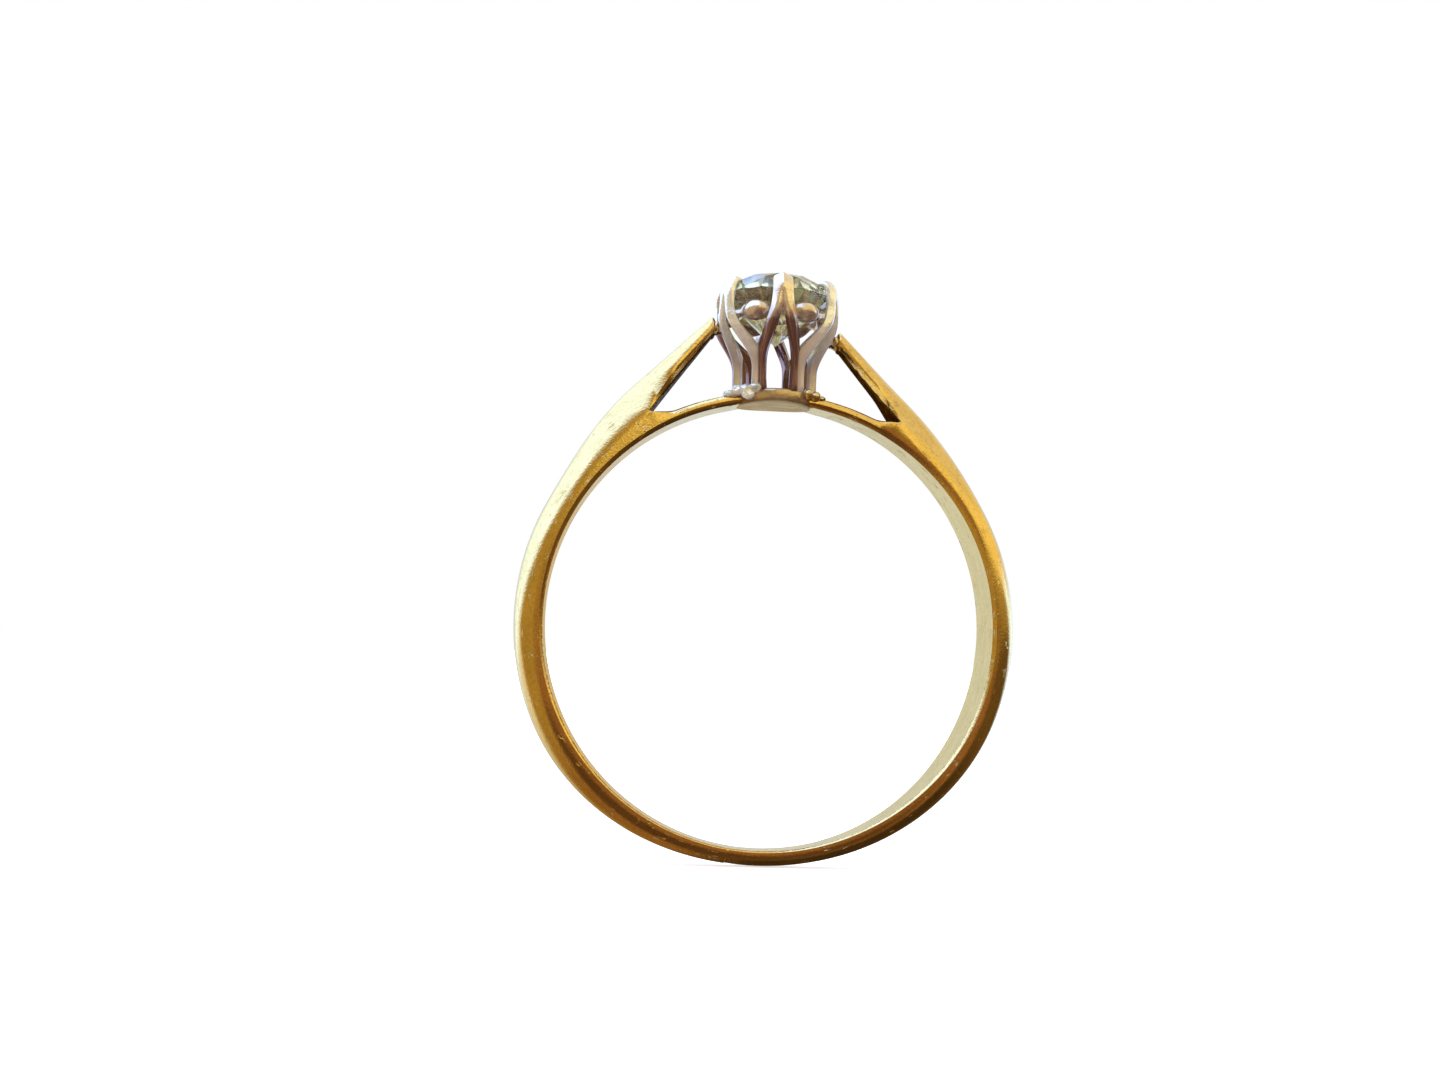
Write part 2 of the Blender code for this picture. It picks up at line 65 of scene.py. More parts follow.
# Band, as the CAD has it, in millimetres and degrees
BORE = 8.5
THICKNESS_BOTTOM = 0.61
THICKNESS_SIDE = {"left": 1.14, "right": 1.03}
THICKEN_FROM = (-90.0, -22.0)
WIDTH_BOTTOM = 1.05
WIDTH_SIDE = 2.79
WIDTH_UNDER_HEAD = 1.64
WIDEN_FROM = (-84.0, -10.0)
NARROW_FROM = (5.0, 90.0)
FLARE_START = 28.0
SEAM_ANGLE = -98.5
SEAM_THICKNESS = 0.07
FORK_ANGLE = 58.9
FORK_RADIUS = 9.30
RAIL_THICKNESS = 0.42
RAIL_THINS_BY = 65.0
TIP_X = 2.50
TIP_HEIGHT = 0.78
TIP_WIDTH = 1.00
SHOULDER_LINE = {"left": (10.29, 46.4), "right": (9.95, 45.8)}

# Head
BASE_RADIUS = 1.50
BASE_TOP = 8.97
BASE_BORE = 8.51
CLAW_LEAN = {
    "claw_front": 0.0,
    "claw_front_right": 2.0,
    "claw_back_right": 0.0,
    "claw_back": 0.0,
    "claw_back_left": 6.0,
    "claw_front_left": -1.0,
}
FOOT_RADIUS = 1.66
CLAW_RADIUS = 2.53
CLAW_FLARE = (9.75, 11.75)
CLAW_THICKNESS = 0.38
LEG_MEET = 10.04
LEG_SPLIT = 12.20
SEAT_RADIUS = 1.71
SEAT_WIRE = 0.41
SEAT_HEIGHT = 11.89
SEAT_PINCH = 0.24        # how much slimmer the wire is beside each claw
SEAT_BULGE = 0.16        # how far the wire stands out between the claws

# Stone
STONE_RADIUS = 2.10
GIRDLE_TOP = 12.73
GIRDLE_THICKNESS = 0.09
TABLE_RADIUS = 1.25
TABLE_HEIGHT = 13.44
STAR_RADIUS = 1.62
PAVILION_ANGLE = 41.0
LOWER_HALF_RADIUS = 0.52
STONE_FOLD = 8


# ---------------------------------------------------------------- small helpers

# An edge that turns by more degrees than this is shaded as an edge
PLAIN_CREASE = 55.0
BAND_CREASE = 27.0


def mix(start, end, amount):
    return start + (end - start) * amount


def ease(value, start, end):
    """0 before start, 1 after end, with a smooth ramp between."""
    amount = min(max((value - start) / (end - start), 0.0), 1.0)
    return amount * amount * (3.0 - 2.0 * amount)


def polar(radius, degrees, y=0.0):
    angle = math.radians(degrees)
    return Vector((radius * math.cos(angle), y, radius * math.sin(angle)))


def loft(mesh, loops, closed=True, second=()):
    """Bridge equally long vertex loops; the faces at the second indices take material 1."""
    count = len(loops[0])
    for near, far in zip(loops, loops[1:]):
        for index in range(count if closed else count - 1):
            following = (index + 1) % count
            face = mesh.faces.new((near[index], near[following], far[following], far[index]))
            face.material_index = 1 if index in second else 0


def place(mesh, points):
    return [mesh.verts.new(point) for point in points]


def add_object(name, data):
    added = bpy.data.objects.new(name, data)
    bpy.context.scene.collection.objects.link(added)
    return added


def add_mesh(name, mesh):
    """Turn a bmesh into an object in the scene."""
    data = bpy.data.meshes.new(name)
    mesh.to_mesh(data)
    mesh.free()
    return add_object(name, data)


def finish_piece(name, mesh, materials, replaced, flat=False, subdivide=0,
                 sharp=PLAIN_CREASE):
    """Turn a millimetre bmesh into one piece that stands for the named CAD nodes."""
    bmesh.ops.recalc_face_normals(mesh, faces=mesh.faces)
    bmesh.ops.scale(mesh, vec=(TO_METRES,) * 3, verts=mesh.verts)
    piece = add_mesh(name, mesh)
    data = piece.data
    if not flat:
        data.shade_smooth()
        data.set_sharp_from_angle(angle=math.radians(sharp))
    for material in materials if isinstance(materials, tuple) else (materials,):
        data.materials.append(material)
    if subdivide:
        modifier = piece.modifiers.new("rounding", "SUBSURF")
        modifier.levels = subdivide
        modifier.render_levels = subdivide
    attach(piece, "root")
    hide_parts(*replaced)
    return piece


# ---------------------------------------------------------------- materials

def wiring(tree):
    """Helpers that each add one node to a tree, feed it and give back its result."""

    def feed(socket, value):
        if isinstance(value, bpy.types.NodeSocket):
            tree.links.new(value, socket)
        else:
            socket.default_value = value

    def vector_math(operation, source, value=None):
        node = tree.nodes.new("ShaderNodeVectorMath")
        node.operation = operation
        feed(node.inputs[0], source)
        if value is not None:
            feed(node.inputs["Scale" if operation == "SCALE" else 1], value)
        return node.outputs["Value" if operation in ("DOT_PRODUCT", "LENGTH") else 0]

    def combine(operation, first, second=None):
        node = tree.nodes.new("ShaderNodeMath")
        node.operation = operation
        feed(node.inputs[0], first)
        if second is not None:
            feed(node.inputs[1], second)
        return node.outputs[0]

    def ranged(value, low, high, to_low=0.0, to_high=1.0):
        node = tree.nodes.new("ShaderNodeMapRange")
        node.interpolation_type = "SMOOTHSTEP"
        numbers = zip(("From Min", "From Max", "To Min", "To Max"), (low, high, to_low, to_high))
        for socket, number in numbers:
            node.inputs[socket].default_value = number
        feed(node.inputs["Value"], value)
        return node.outputs["Result"]

    def blend(factor, first, second):
        """Mix two colours, each one plain or another node's result."""
        node = tree.nodes.new("ShaderNodeMix")
        node.data_type = "RGBA"
        feed(node.inputs["Factor"], factor)
        for index, colour in ((6, first), (7, second)):
            feed(node.inputs[index], (*colour, 1.0) if isinstance(colour, tuple) else colour)
        return node.outputs[2]

    return vector_math, combine, ranged, blend


# Noise behind the metal: scale, detail, and how finely it lies along, across and outward
DRIFT = (1.6, 6.0, (0.6, 1.0, 1.6))
MOTTLE = (13.0, 6.0, (0.7, 1.0, 1.2))
LOW_SHADE_NOISE = (1.8, 4.0)
GLOSS = (3.0, 5.0)
STREAKS = (9.0, 4.0, (0.35, 1.0, 1.8))
BLOTCHES = (14.0, 5.0, (0.8, 1.0, 1.1))
HAIRLINES = (1.5, 0.0, (0.22, 2.2, 3.0))
WORN_PATCHES = (2.6, 4.0)
PITS = (5.0, 6.0)

# Where each noise turns from one state to the other; noise runs about a middle of a half
MIDDLE = 0.5
DRIFT_TURNS = (0.38, 0.62)
MOTTLE_TURNS = (0.42, 0.66)
GLOSS_TURNS = (0.3, 0.7)
WORN_TURNS = (0.58, 0.64)
LOW_SHADE_WAVERS = 1.6             # how unevenly the painted shade ends
STREAK_SHARE = 0.2
BLOTCH_SHARE = 0.8
HAIRLINE_WIDTH = 0.010
HAIRLINE_ANGLES = ((0.0, 18.0, 10.0), (0.0, -42.0, 0.0), (20.0, 63.0, 0.0))
WORN_ANGLE = (40.0, 10.0, 0.0)


def metal(name, colours, roughness, grain, scratch=0.0, pitting=0.0, shade=(1.0, 1.0, 1.0),
          along_hoop=False, painted_low_shade=None, metallic=1.0, mottling=0.12):
    """Worn polished metal: drifting colour, grain drawn out along the band, scratches.

    Along the hoop the noise runs with the arc, across the band and outward.
    grain, scratch and pitting are depths in millimetres; shade is the tint at grazing angles.
    painted_low_shade is (colour, height, height): that colour as painted shade below the first
    height, gone by the second.
    mottling is how much darker the colour gets in fine specks.
    """
    material = bpy.data.materials.new(name)
    material.use_nodes = True
    tree = material.node_tree
    nodes = tree.nodes
    link = tree.links.new
    vector_math, combine, ranged, blend = wiring(tree)
    shader = nodes["Principled BSDF"]
    shader.inputs["Metallic"].default_value = metallic
    shader.inputs["Specular Tint"].default_value = (*shade, 1.0)

    coordinate = nodes.new("ShaderNodeTexCoord")
    in_mm = vector_math("SCALE", coordinate.outputs["Object"], 1.0 / TO_METRES)
    # The arc is measured from the side opposite the sizing joint, so its jump hides there
    opposite = math.radians(SEAM_ANGLE + 180.0)
    outward = vector_math("DOT_PRODUCT", in_mm, (math.cos(opposite), 0.0, math.sin(opposite)))
    sideways = vector_math("DOT_PRODUCT", in_mm, (math.sin(opposite), 0.0, -math.cos(opposite)))
    arc = combine("MULTIPLY", combine("ARCTAN2", sideways, outward), BORE)
    flat = vector_math("MULTIPLY", in_mm, (1.0, 0.0, 1.0))
    hoop = nodes.new("ShaderNodeCombineXYZ")
    link(arc, hoop.inputs["X"])
    link(vector_math("DOT_PRODUCT", in_mm, BEHIND), hoop.inputs["Y"])
    link(vector_math("LENGTH", flat), hoop.inputs["Z"])
    laid = hoop.outputs[0] if along_hoop else in_mm

    def noise_of(scale, detail, stretch=(1.0, 1.0, 1.0), turn=(0.0, 0.0, 0.0)):
        mapping = nodes.new("ShaderNodeMapping")
        mapping.inputs["Scale"].default_value = stretch
        mapping.inputs["Rotation"].default_value = [math.radians(angle) for angle in turn]
        link(laid, mapping.inputs["Vector"])
        texture = nodes.new("ShaderNodeTexNoise")
        texture.inputs["Scale"].default_value = scale
        texture.inputs["Detail"].default_value = detail
        link(mapping.outputs[0], texture.inputs["Vector"])
        return texture.outputs["Fac"]

    def bump(height, depth, before=None):
        node = nodes.new("ShaderNodeBump")
        node.inputs["Strength"].default_value = 1.0
        node.inputs["Distance"].default_value = depth * TO_METRES
        link(height, node.inputs["Height"])
        if before:
            link(before, node.inputs["Normal"])
        return node.outputs["Normal"]

    tint = blend(ranged(noise_of(*DRIFT), *DRIFT_TURNS), *colours)
    mottle = ranged(noise_of(*MOTTLE), *MOTTLE_TURNS, 1.0, 1.0 - mottling)
    colour = vector_math("SCALE", tint, mottle)
    # Painted shade: below a height, with an uneven edge, the colour turns darker
    if painted_low_shade:
        shade_colour, low, high = painted_low_shade
        centred = combine("SUBTRACT", noise_of(*LOW_SHADE_NOISE), MIDDLE)
        uneven = combine("MULTIPLY", centred, LOW_SHADE_WAVERS)
        height = vector_math("DOT_PRODUCT", in_mm, UPWARD)
        unshaded = ranged(combine("ADD", height, uneven), low, high)
        colour = blend(unshaded, shade_colour, colour)
    link(colour, shader.inputs["Base Color"])
    link(ranged(noise_of(*GLOSS), *GLOSS_TURNS, *roughness), shader.inputs["Roughness"])

    # Grain: long fine streaks and a rounder, blotchy unevenness
    streaks = combine("MULTIPLY", noise_of(*STREAKS), STREAK_SHARE)
    blotches = combine("MULTIPLY", noise_of(*BLOTCHES), BLOTCH_SHARE)
    normal = bump(combine("ADD", streaks, blotches), grain)
    if scratch:
        # Hairlines lie where a drawn-out noise crosses its middle, in worn patches only
        lines = None
        for turn in HAIRLINE_ANGLES:
            fibre = noise_of(*HAIRLINES, turn)
            off_middle = combine("ABSOLUTE", combine("SUBTRACT", fibre, MIDDLE))
            line = ranged(off_middle, 0.0, HAIRLINE_WIDTH, 1.0, 0.0)
            lines = line if lines is None else combine("MAXIMUM", lines, line)
        worn = ranged(noise_of(*WORN_PATCHES, turn=WORN_ANGLE), *WORN_TURNS)
        normal = bump(combine("MULTIPLY", lines, worn), -scratch, normal)
    if pitting:
        normal = bump(noise_of(*PITS), pitting, normal)
    link(normal, shader.inputs["Normal"])
    return material


# Softer than a real diamond, which is polished and bends light by 2.42: at that, the crown
# mirrors too much of the painted blue sky, which the warm gloss tint holds back as well
STONE_IOR = 1.65
STONE_ROUGHNESS = 0.12
STONE_GLOSS = 0.15
STONE_GLOSS_TINT = (1.0, 0.74, 0.40)
STONE_TINTS = ((0.94, 0.96, 0.86), (0.97, 0.97, 0.90))
STONE_DRIFT = 600.0              # per metre


def gem(name):
    """Clear stone with a faint warm green body colour."""
    material = bpy.data.materials.new(name)
    material.use_nodes = True
    tree = material.node_tree
    shader = tree.nodes["Principled BSDF"]
    shader.inputs["Transmission Weight"].default_value = 1.0
    shader.inputs["IOR"].default_value = STONE_IOR
    shader.inputs["Roughness"].default_value = STONE_ROUGHNESS
    shader.inputs["Specular IOR Level"].default_value = STONE_GLOSS
    shader.inputs["Specular Tint"].default_value = (*STONE_GLOSS_TINT, 1.0)
    coordinate = tree.nodes.new("ShaderNodeTexCoord")
    drift = tree.nodes.new("ShaderNodeTexNoise")
    drift.inputs["Scale"].default_value = STONE_DRIFT
    tree.links.new(coordinate.outputs["Object"], drift.inputs["Vector"])
    blend = wiring(tree)[3]
    tree.links.new(blend(drift.outputs["Fac"], *STONE_TINTS), shader.inputs["Base Color"])
    return material


# ---------------------------------------------------------------- band

# Points round a section, and stations along the band
BORE_FILLET = 4          # points round the edge between the bore and the side wall
RAIL_EDGE = 4            # points on the wall that become the rail's upper edge
ARM_EDGE = 3             # points above the crotch that become the arm's lower edge
CROWN_POINTS = 8         # points from there to the crown
ROW = 5                  # points across the bore, the crotch and the rail's top
HOOP_STATIONS = 84
RAIL_STATIONS = 22
ARM_STATIONS = 26
CROWDING = 1.3           # above 1, stations crowd towards the fork

# Worn edge of the bore: its reach across, and how much further it climbs the wall
EDGE_REACH = (0.06, 0.13)
EDGE_GROWS = (-70.0, 0.0)
EDGE_CLIMB = {"left": 0.03, "right": 0.12}
EDGE_CLIMBS = (5.0, 35.0)
EDGE_ROUNDNESS = 0.2

# Side wall as a share of the thickness, with the crown rounding over above it
WALL_SHARE = (0.20, 0.24)
WALL_GROWS = (20.0, 45.0)
WALL_OVER_EDGE = 0.04
CROWN_PARTING = 20.0     # degrees up the crown where its evenly spaced points begin
CROWN_STEP = 6.0         # degrees between the points above that
FORK_STEP = 2.0          # the same at the fork, where they gather at the crotch
FORK_GATHERS = 9.0       # degrees before the fork over which they gather
FORK_RISE = (0.1, 0.9)   # how low and how high on the crown the crotch may lie

# Rail: where the bore's edge ends on it and how round its top edges are, at the fork and free
RAIL_CLIMB = {"left": 0.16, "right": 0.25}
RAIL_CLIMB_FREE = 0.17
RAIL_ROUNDING = (0.02, 0.20)
RAIL_FREE_AFTER = 4.5    # degrees past the fork
RAIL_THINS_FROM = 2.0    # degrees before the fork
RAIL_LIFT = 0.03         # how far its underside rises to slip into the base
RAIL_LIFTS = (79.2, 81.0)
RAIL_OVERLAP = 0.4       # how far it runs on inside the base

# Free arm's section in shares of its width and height: a filed bevel, then the back
ARM_BEVEL = {
    "left": ((0.70, 0.0), (0.80, 0.10), (0.90, 0.20), (0.99, 0.30)),
    "right": ((0.40, 0.0), (0.60, 0.08), (0.80, 0.16), (0.99, 0.25)),
}
ARM_BACK = (0.34, 0.46, 0.58, 0.70, 0.81, 0.905, 0.975, 1.0)
ARM_WIDEST = 0.30
ARM_FALL = {"left": (0.38, 0.24), "right": (0.65, 0.24)}     # lower is squarer; root, tip
ARM_SQUARES = (0.2, 1.0)
ARM_FREE_BY = {"left": 0.50, "right": 0.42}
WAVER_DEPTH = 0.8
WAVER_PACE = 15.0
WAVER_ROW = {"left": 3.0, "right": 9.0}
TIP_ROUNDING = ((0.97, 0.05), (0.86, 0.10), (0.62, 0.14), (0.30, 0.16))      # share, push


def line_radius(side, degrees):
    distance, normal = SHOULDER_LINE[side]
    return distance / math.cos(math.radians(degrees - normal))


def tip_top(side):
    """Height of the shoulder's straight line where the arm ends."""
    distance, normal = SHOULDER_LINE[side]
    along = math.radians(normal)
    return (distance - TIP_X * math.cos(along)) / math.sin(along)


def hoop_outer(side, degrees):
    """Outer radius: round, then flaring to meet the shoulder's straight line."""
    thickness = mix(THICKNESS_BOTTOM, THICKNESS_SIDE[side], ease(degrees, *THICKEN_FROM))
    if degrees <= FLARE_START:
        return BORE + thickness
    span = FORK_ANGLE - FLARE_START
    step = (degrees - FLARE_START) / span
    end = line_radius(side, FORK_ANGLE)
    slope = end * math.tan(math.radians(FORK_ANGLE - SHOULDER_LINE[side][1])) * math.radians(span)
    rise = step * step * (3.0 - 2.0 * step)
    return mix(BORE + thickness, end, rise) + slope * (step ** 3 - step ** 2)


def band_width(degrees):
    if degrees < 0.0:
        return mix(WIDTH_BOTTOM, WIDTH_SIDE, ease(degrees, *WIDEN_FROM))
    return mix(WIDTH_SIDE, WIDTH_UNDER_HEAD, ease(degrees, *NARROW_FROM))


def mirror(point, side):
    return Vector((-point.x, point.y, point.z)) if side == "left" else point


def row_across(edge, frame_of):
    """Points from an edge of a section, given as (across, up), to its mirror image."""
    across, up = edge
    row = []
    for index in range(1, ROW + 1):
        share = 1.0 - 2.0 * index / (ROW + 1)
        row.append(frame_of(across * share, up))
    return row


def wrap(half_profile, frame_of):
    """Close a half profile: its front, its mirror image and a row back across.

    half_profile holds (across, up) in millimetres; frame_of turns (y, up) into a point.
    """
    front = [frame_of(-across, up) for across, up in half_profile]
    back = [frame_of(across, up) for across, up in reversed(half_profile[:-1])]
    return front + back + row_across(half_profile[0], frame_of)


def bore_edge(half_width, fillet_across, fillet_up):
    """Points of the broken edge from the bore to the side wall, a bevel worn a little round."""
    points = []
    for index in range(BORE_FILLET):
        share = index / (BORE_FILLET - 1)
        angle = math.radians(90.0 * share)
        reached = mix(share, math.sin(angle), EDGE_ROUNDNESS)
        climbed = mix(share, 1.0 - math.cos(angle), EDGE_ROUNDNESS)
        points.append((half_width - fillet_across * (1.0 - reached), fillet_up * climbed))
    return points


def hoop_half(side, degrees):
    """Half profile of the hoop as (across, up): bore edge, low wall, rounded crown."""
    half_width = band_width(degrees) / 2.0
    thick = hoop_outer(side, degrees) - BORE
    near_fork = ease(degrees, FORK_ANGLE - FORK_GATHERS, FORK_ANGLE)
    edge = mix(*EDGE_REACH, ease(degrees, *EDGE_GROWS))
    tall = edge + EDGE_CLIMB[side] * ease(degrees, *EDGE_CLIMBS)
    wall_top = thick * mix(*WALL_SHARE, ease(degrees, *WALL_GROWS))
    wall_top = max(wall_top, tall + WALL_OVER_EDGE)
    points = bore_edge(half_width, edge, tall)
    # Angle round the crown at which rail and shoulder part company
    rise = (FORK_RADIUS - BORE - wall_top) / (thick - wall_top)
    rise = min(max(rise, FORK_RISE[0]), FORK_RISE[1])
    parting = mix(CROWN_PARTING, math.degrees(math.asin(rise)), near_fork)
    crown = []
    for index in range(RAIL_EDGE + 1):
        even = parting * index / RAIL_EDGE
        close = parting - FORK_STEP * (RAIL_EDGE - index)
        crown.append(mix(even, close, near_fork))
    for index in range(ARM_EDGE):
        even = parting + CROWN_STEP * (index + 1)
        close = parting + FORK_STEP * (index + 1)
        crown.append(mix(even, close, near_fork))
    first = parting + CROWN_STEP * (ARM_EDGE + 1)
    for index in range(CROWN_POINTS):
        crown.append(mix(first, 90.0, index / (CROWN_POINTS - 1)))
    for degrees_up in crown:
        angle = math.radians(degrees_up)
        points.append((half_width * math.cos(angle), mix(wall_top, thick, math.sin(angle))))
    points[-1] = (0.0, thick)
    return points


def rail_half(side, degrees):
    """Half profile of the rail: bore edge, rounded upper edge; its top row closes it."""
    half_width = band_width(degrees) / 2.0
    thinned = ease(degrees, FORK_ANGLE - RAIL_THINS_FROM, RAIL_THINS_BY)
    thick = mix(FORK_RADIUS - BORE, RAIL_THICKNESS, thinned)
    opened = ease(degrees, FORK_ANGLE, FORK_ANGLE + RAIL_FREE_AFTER)
    tall = mix(RAIL_CLIMB[side], RAIL_CLIMB_FREE, opened)
    points = bore_edge(half_width, EDGE_REACH[1], tall)
    top = mix(*RAIL_ROUNDING, opened)
    for index in range(RAIL_EDGE + 1):
        angle = math.radians(90.0 * index / RAIL_EDGE)
        points.append((half_width - top * (1.0 - math.cos(angle)),
                       thick - top * (1.0 - math.sin(angle))))
    return points


def rail_loop(side, degrees, end_x=None):
    """One closed loop of the rail, its bore row and its top row included."""
    half = rail_half(side, degrees)
    lift = RAIL_LIFT * ease(degrees, *RAIL_LIFTS)

    def frame_of(y, up):
        point = polar(BORE + max(up, lift), degrees, y)
        if end_x is not None:
            point.x = end_x
        return mirror(point, side)

    front = [frame_of(-across, up) for across, up in half]
    back = [frame_of(across, up) for across, up in reversed(half)]
    top_across, top_up = half[-1]
    top = row_across((-top_across, top_up), frame_of)
    return front + top + back + row_across(half[0], frame_of)


def arm_loop(side, amount, root, tip):
    """One closed loop of the shoulder at a share of its length: face, ridge, lower row."""
    inner = root[0].lerp(tip[0], amount)
    outer = root[1].lerp(tip[1], amount)
    width = mix(band_width(FORK_ANGLE), TIP_WIDTH, amount)
    start = hoop_half(side, FORK_ANGLE)[BORE_FILLET + RAIL_EDGE:]
    low = start[0][1]
    thick = start[-1][1]
    # Shape of the free arm: a bevel on the head's side and a back that squares up to the tip
    fall = mix(*ARM_FALL[side], ease(amount, *ARM_SQUARES))
    free = list(ARM_BEVEL[side])
    for up in ARM_BACK:
        free.append(((1.0 - ((up - ARM_WIDEST) / (1.0 - ARM_WIDEST)) ** 2) ** fall, up))
    shaped = ease(amount, 0.0, ARM_FREE_BY[side])
    half_root = band_width(FORK_ANGLE) / 2.0
    half = []
    for (across, up), (free_across, free_up) in zip(start, free):
        half.append((mix(across / half_root, free_across, shaped) * width / 2.0,
                     mix((up - low) / (thick - low), free_up, shaped)))
    # The first step of the bevel wavers, as left by a file
    waver = noise.noise(Vector((amount * WAVER_PACE, WAVER_ROW[side], 0.0)))
    half[1] = (half[1][0], half[1][1] * (1.0 + WAVER_DEPTH * shaped * waver))

    def frame_of(y, up):
        point = inner.lerp(outer, up)
        point.y = y
        return mirror(point, side)

    return wrap(half, frame_of)


def build_band(side, polished, painted_dark):
    """Half of the hoop with its rail and its shoulder, one smooth piece of gold."""
    mesh = bmesh.new()
    half_seam = math.degrees(SEAM_THICKNESS / 2.0 / BORE)
    seam = SEAM_ANGLE if side == "right" else -180.0 - SEAM_ANGLE
    start = seam + half_seam
    hoop = []
    for index in range(HOOP_STATIONS + 1):
        degrees = mix(start, FORK_ANGLE, index / HOOP_STATIONS)
        half = hoop_half(side, degrees)

        def frame_of(y, up, degrees=degrees):
            return mirror(polar(BORE + up, degrees, y), side)

        hoop.append(place(mesh, wrap(half, frame_of)))
    loft(mesh, hoop)
    mesh.faces.new(hoop[0])

    # Split the last loop at the crotch, front and back, with a row across between
    fork = hoop[-1]
    arm_half = 1 + ARM_EDGE + CROWN_POINTS
    front_index = BORE_FILLET + RAIL_EDGE
    back_index = front_index + 2 * (arm_half - 1)
    front_point = fork[front_index].co
    back_point = fork[back_index].co
    across = place(mesh, [front_point.lerp(back_point, index / (ROW + 1))
                          for index in range(1, ROW + 1)])

    lower = fork[:front_index + 1] + across + fork[back_index:]
    rails = [lower]
    end_x = BASE_RADIUS - RAIL_OVERLAP
    end = math.degrees(math.acos(end_x / BORE))
    for index in range(1, RAIL_STATIONS + 1):
        degrees = mix(FORK_ANGLE, end, (index / RAIL_STATIONS) ** CROWDING)
        fixed = end_x if index == RAIL_STATIONS else None
        rails.append(place(mesh, rail_loop(side, degrees, fixed)))
    loft(mesh, rails)
    mesh.faces.new(rails[-1])

    upper = fork[front_index:back_index + 1] + across[::-1]
    tip_outer = Vector((TIP_X, 0.0, tip_top(side)))
    tip_inner = tip_outer - Vector((0.0, 0.0, TIP_HEIGHT))
    root = (polar(FORK_RADIUS, FORK_ANGLE), polar(line_radius(side, FORK_ANGLE), FORK_ANGLE))
    arms = [upper]
    for index in range(1, ARM_STATIONS + 1):
        amount = (index / ARM_STATIONS) ** CROWDING
        arms.append(place(mesh, arm_loop(side, amount, root, (tip_inner, tip_outer))))
    # Round the tip off with a few shrinking loops
    last = [vertex.co.copy() for vertex in arms[-1]]
    middle = sum(last, Vector()) / len(last)
    inward = mirror(Vector((-1.0, 0.0, 0.0)), side)
    for shrink, push in TIP_ROUNDING:
        loop = [middle.lerp(point, shrink) + inward * push for point in last]
        arms.append(place(mesh, loop))
    # The side towards the head takes a dark gold, painted shade and dark reflection: the first
    # face in front, the last two behind and the row across
    inside = (0, *range(2 * arm_half - 4, len(upper)))
    loft(mesh, arms, second=inside)
    mesh.faces.new(arms[-1])
    return finish_piece("band_" + side, mesh, (polished, painted_dark),
                        ("shank_" + side, "shoulder_" + side),
                        sharp=BAND_CREASE)


# Sizing joint: its stations in shares of half its width, and how far its middle stands proud
SEAM_STATIONS = (-1.0, -0.4, 0.4, 1.0)
SEAM_PROUD = 0.004
SEAM_SUNK_BELOW = 0.2            # nearer the bore than this it stands into the hole instead


def build_seam(material):
    """The sizing joint: a hairline of solder, a breath prouder than the band."""
    mesh = bmesh.new()
    half_seam = math.degrees(SEAM_THICKNESS / 2.0 / BORE)
    loops = []
    for share in SEAM_STATIONS:
        degrees = SEAM_ANGLE + half_seam * share
        half = hoop_half("right", degrees)
        proud = SEAM_PROUD * (1.0 - abs(share))

        def frame_of(y, up, degrees=degrees, proud=proud):
            outward = proud if up > SEAM_SUNK_BELOW else -proud
            return polar(BORE + up + outward, degrees, y)

        loops.append(place(mesh, wrap(half, frame_of)))
    loft(mesh, loops)
    mesh.faces.new(loops[0])
    mesh.faces.new(loops[-1])
    return finish_piece("sizing_joint", mesh, material, ("sizing_solder",))


# ---------------------------------------------------------------- head

BASE_BEVEL = 0.10
BASE_RINGS = (0.02, 0.5, 1.0)    # radii of the rows on the plate's two faces
BASE_SEGMENTS = 96
QUARTER_TURN = (0, 30, 60, 90)
SEAT_SIDES = 28
SEAT_SEGMENTS = 144
SEAT_CLEARANCE = 0.01            # between the ring's cut edge and the stone


def turned(mesh, profile, segments):
    """Turn a (radius, height) profile about +Z; height may be a function of x."""
    loops = []
    for index in range(segments):
        angle = 2.0 * math.pi * index / segments
        loop = []
        for radius, height in profile:
            x = radius * math.sin(angle)
            z = height(x) if callable(height) else height
            loop.append(mesh.verts.new((x, -radius * math.cos(angle), z)))
        loops.append(loop)
    loft(mesh, loops + [loops[0]], closed=False)
    return loops


def build_base(material):
    """Round plate under the claws, its underside hollowed to carry on the bore."""
    mesh = bmesh.new()

    def hollow(lift):
        return lambda x: math.sqrt(BASE_BORE ** 2 - min(x * x, BASE_RADIUS ** 2)) + lift

    profile = [(radius, hollow(0.0)) for radius in BASE_RINGS]
    bevels = []
    for angle in map(math.radians, QUARTER_TURN):
        bevels.append((BASE_BEVEL * (1.0 - math.sin(angle)), BASE_BEVEL * (1.0 - math.cos(angle))))
    profile += [(BASE_RADIUS - across, hollow(up)) for across, up in bevels]
    profile += [(BASE_RADIUS - across, BASE_TOP - up) for up, across in bevels]
    profile += [(radius, BASE_TOP) for radius in reversed(BASE_RINGS)]
    loops = turned(mesh, profile, BASE_SEGMENTS)
    mesh.faces.new([loop[0] for loop in loops])
    mesh.faces.new([loop[-1] for loop in loops])
    return finish_piece("head_base", mesh, material, ("base_plate",))


def culet_height():
    drop = STONE_RADIUS * math.tan(math.radians(PAVILION_ANGLE))
    return GIRDLE_TOP - GIRDLE_THICKNESS - drop


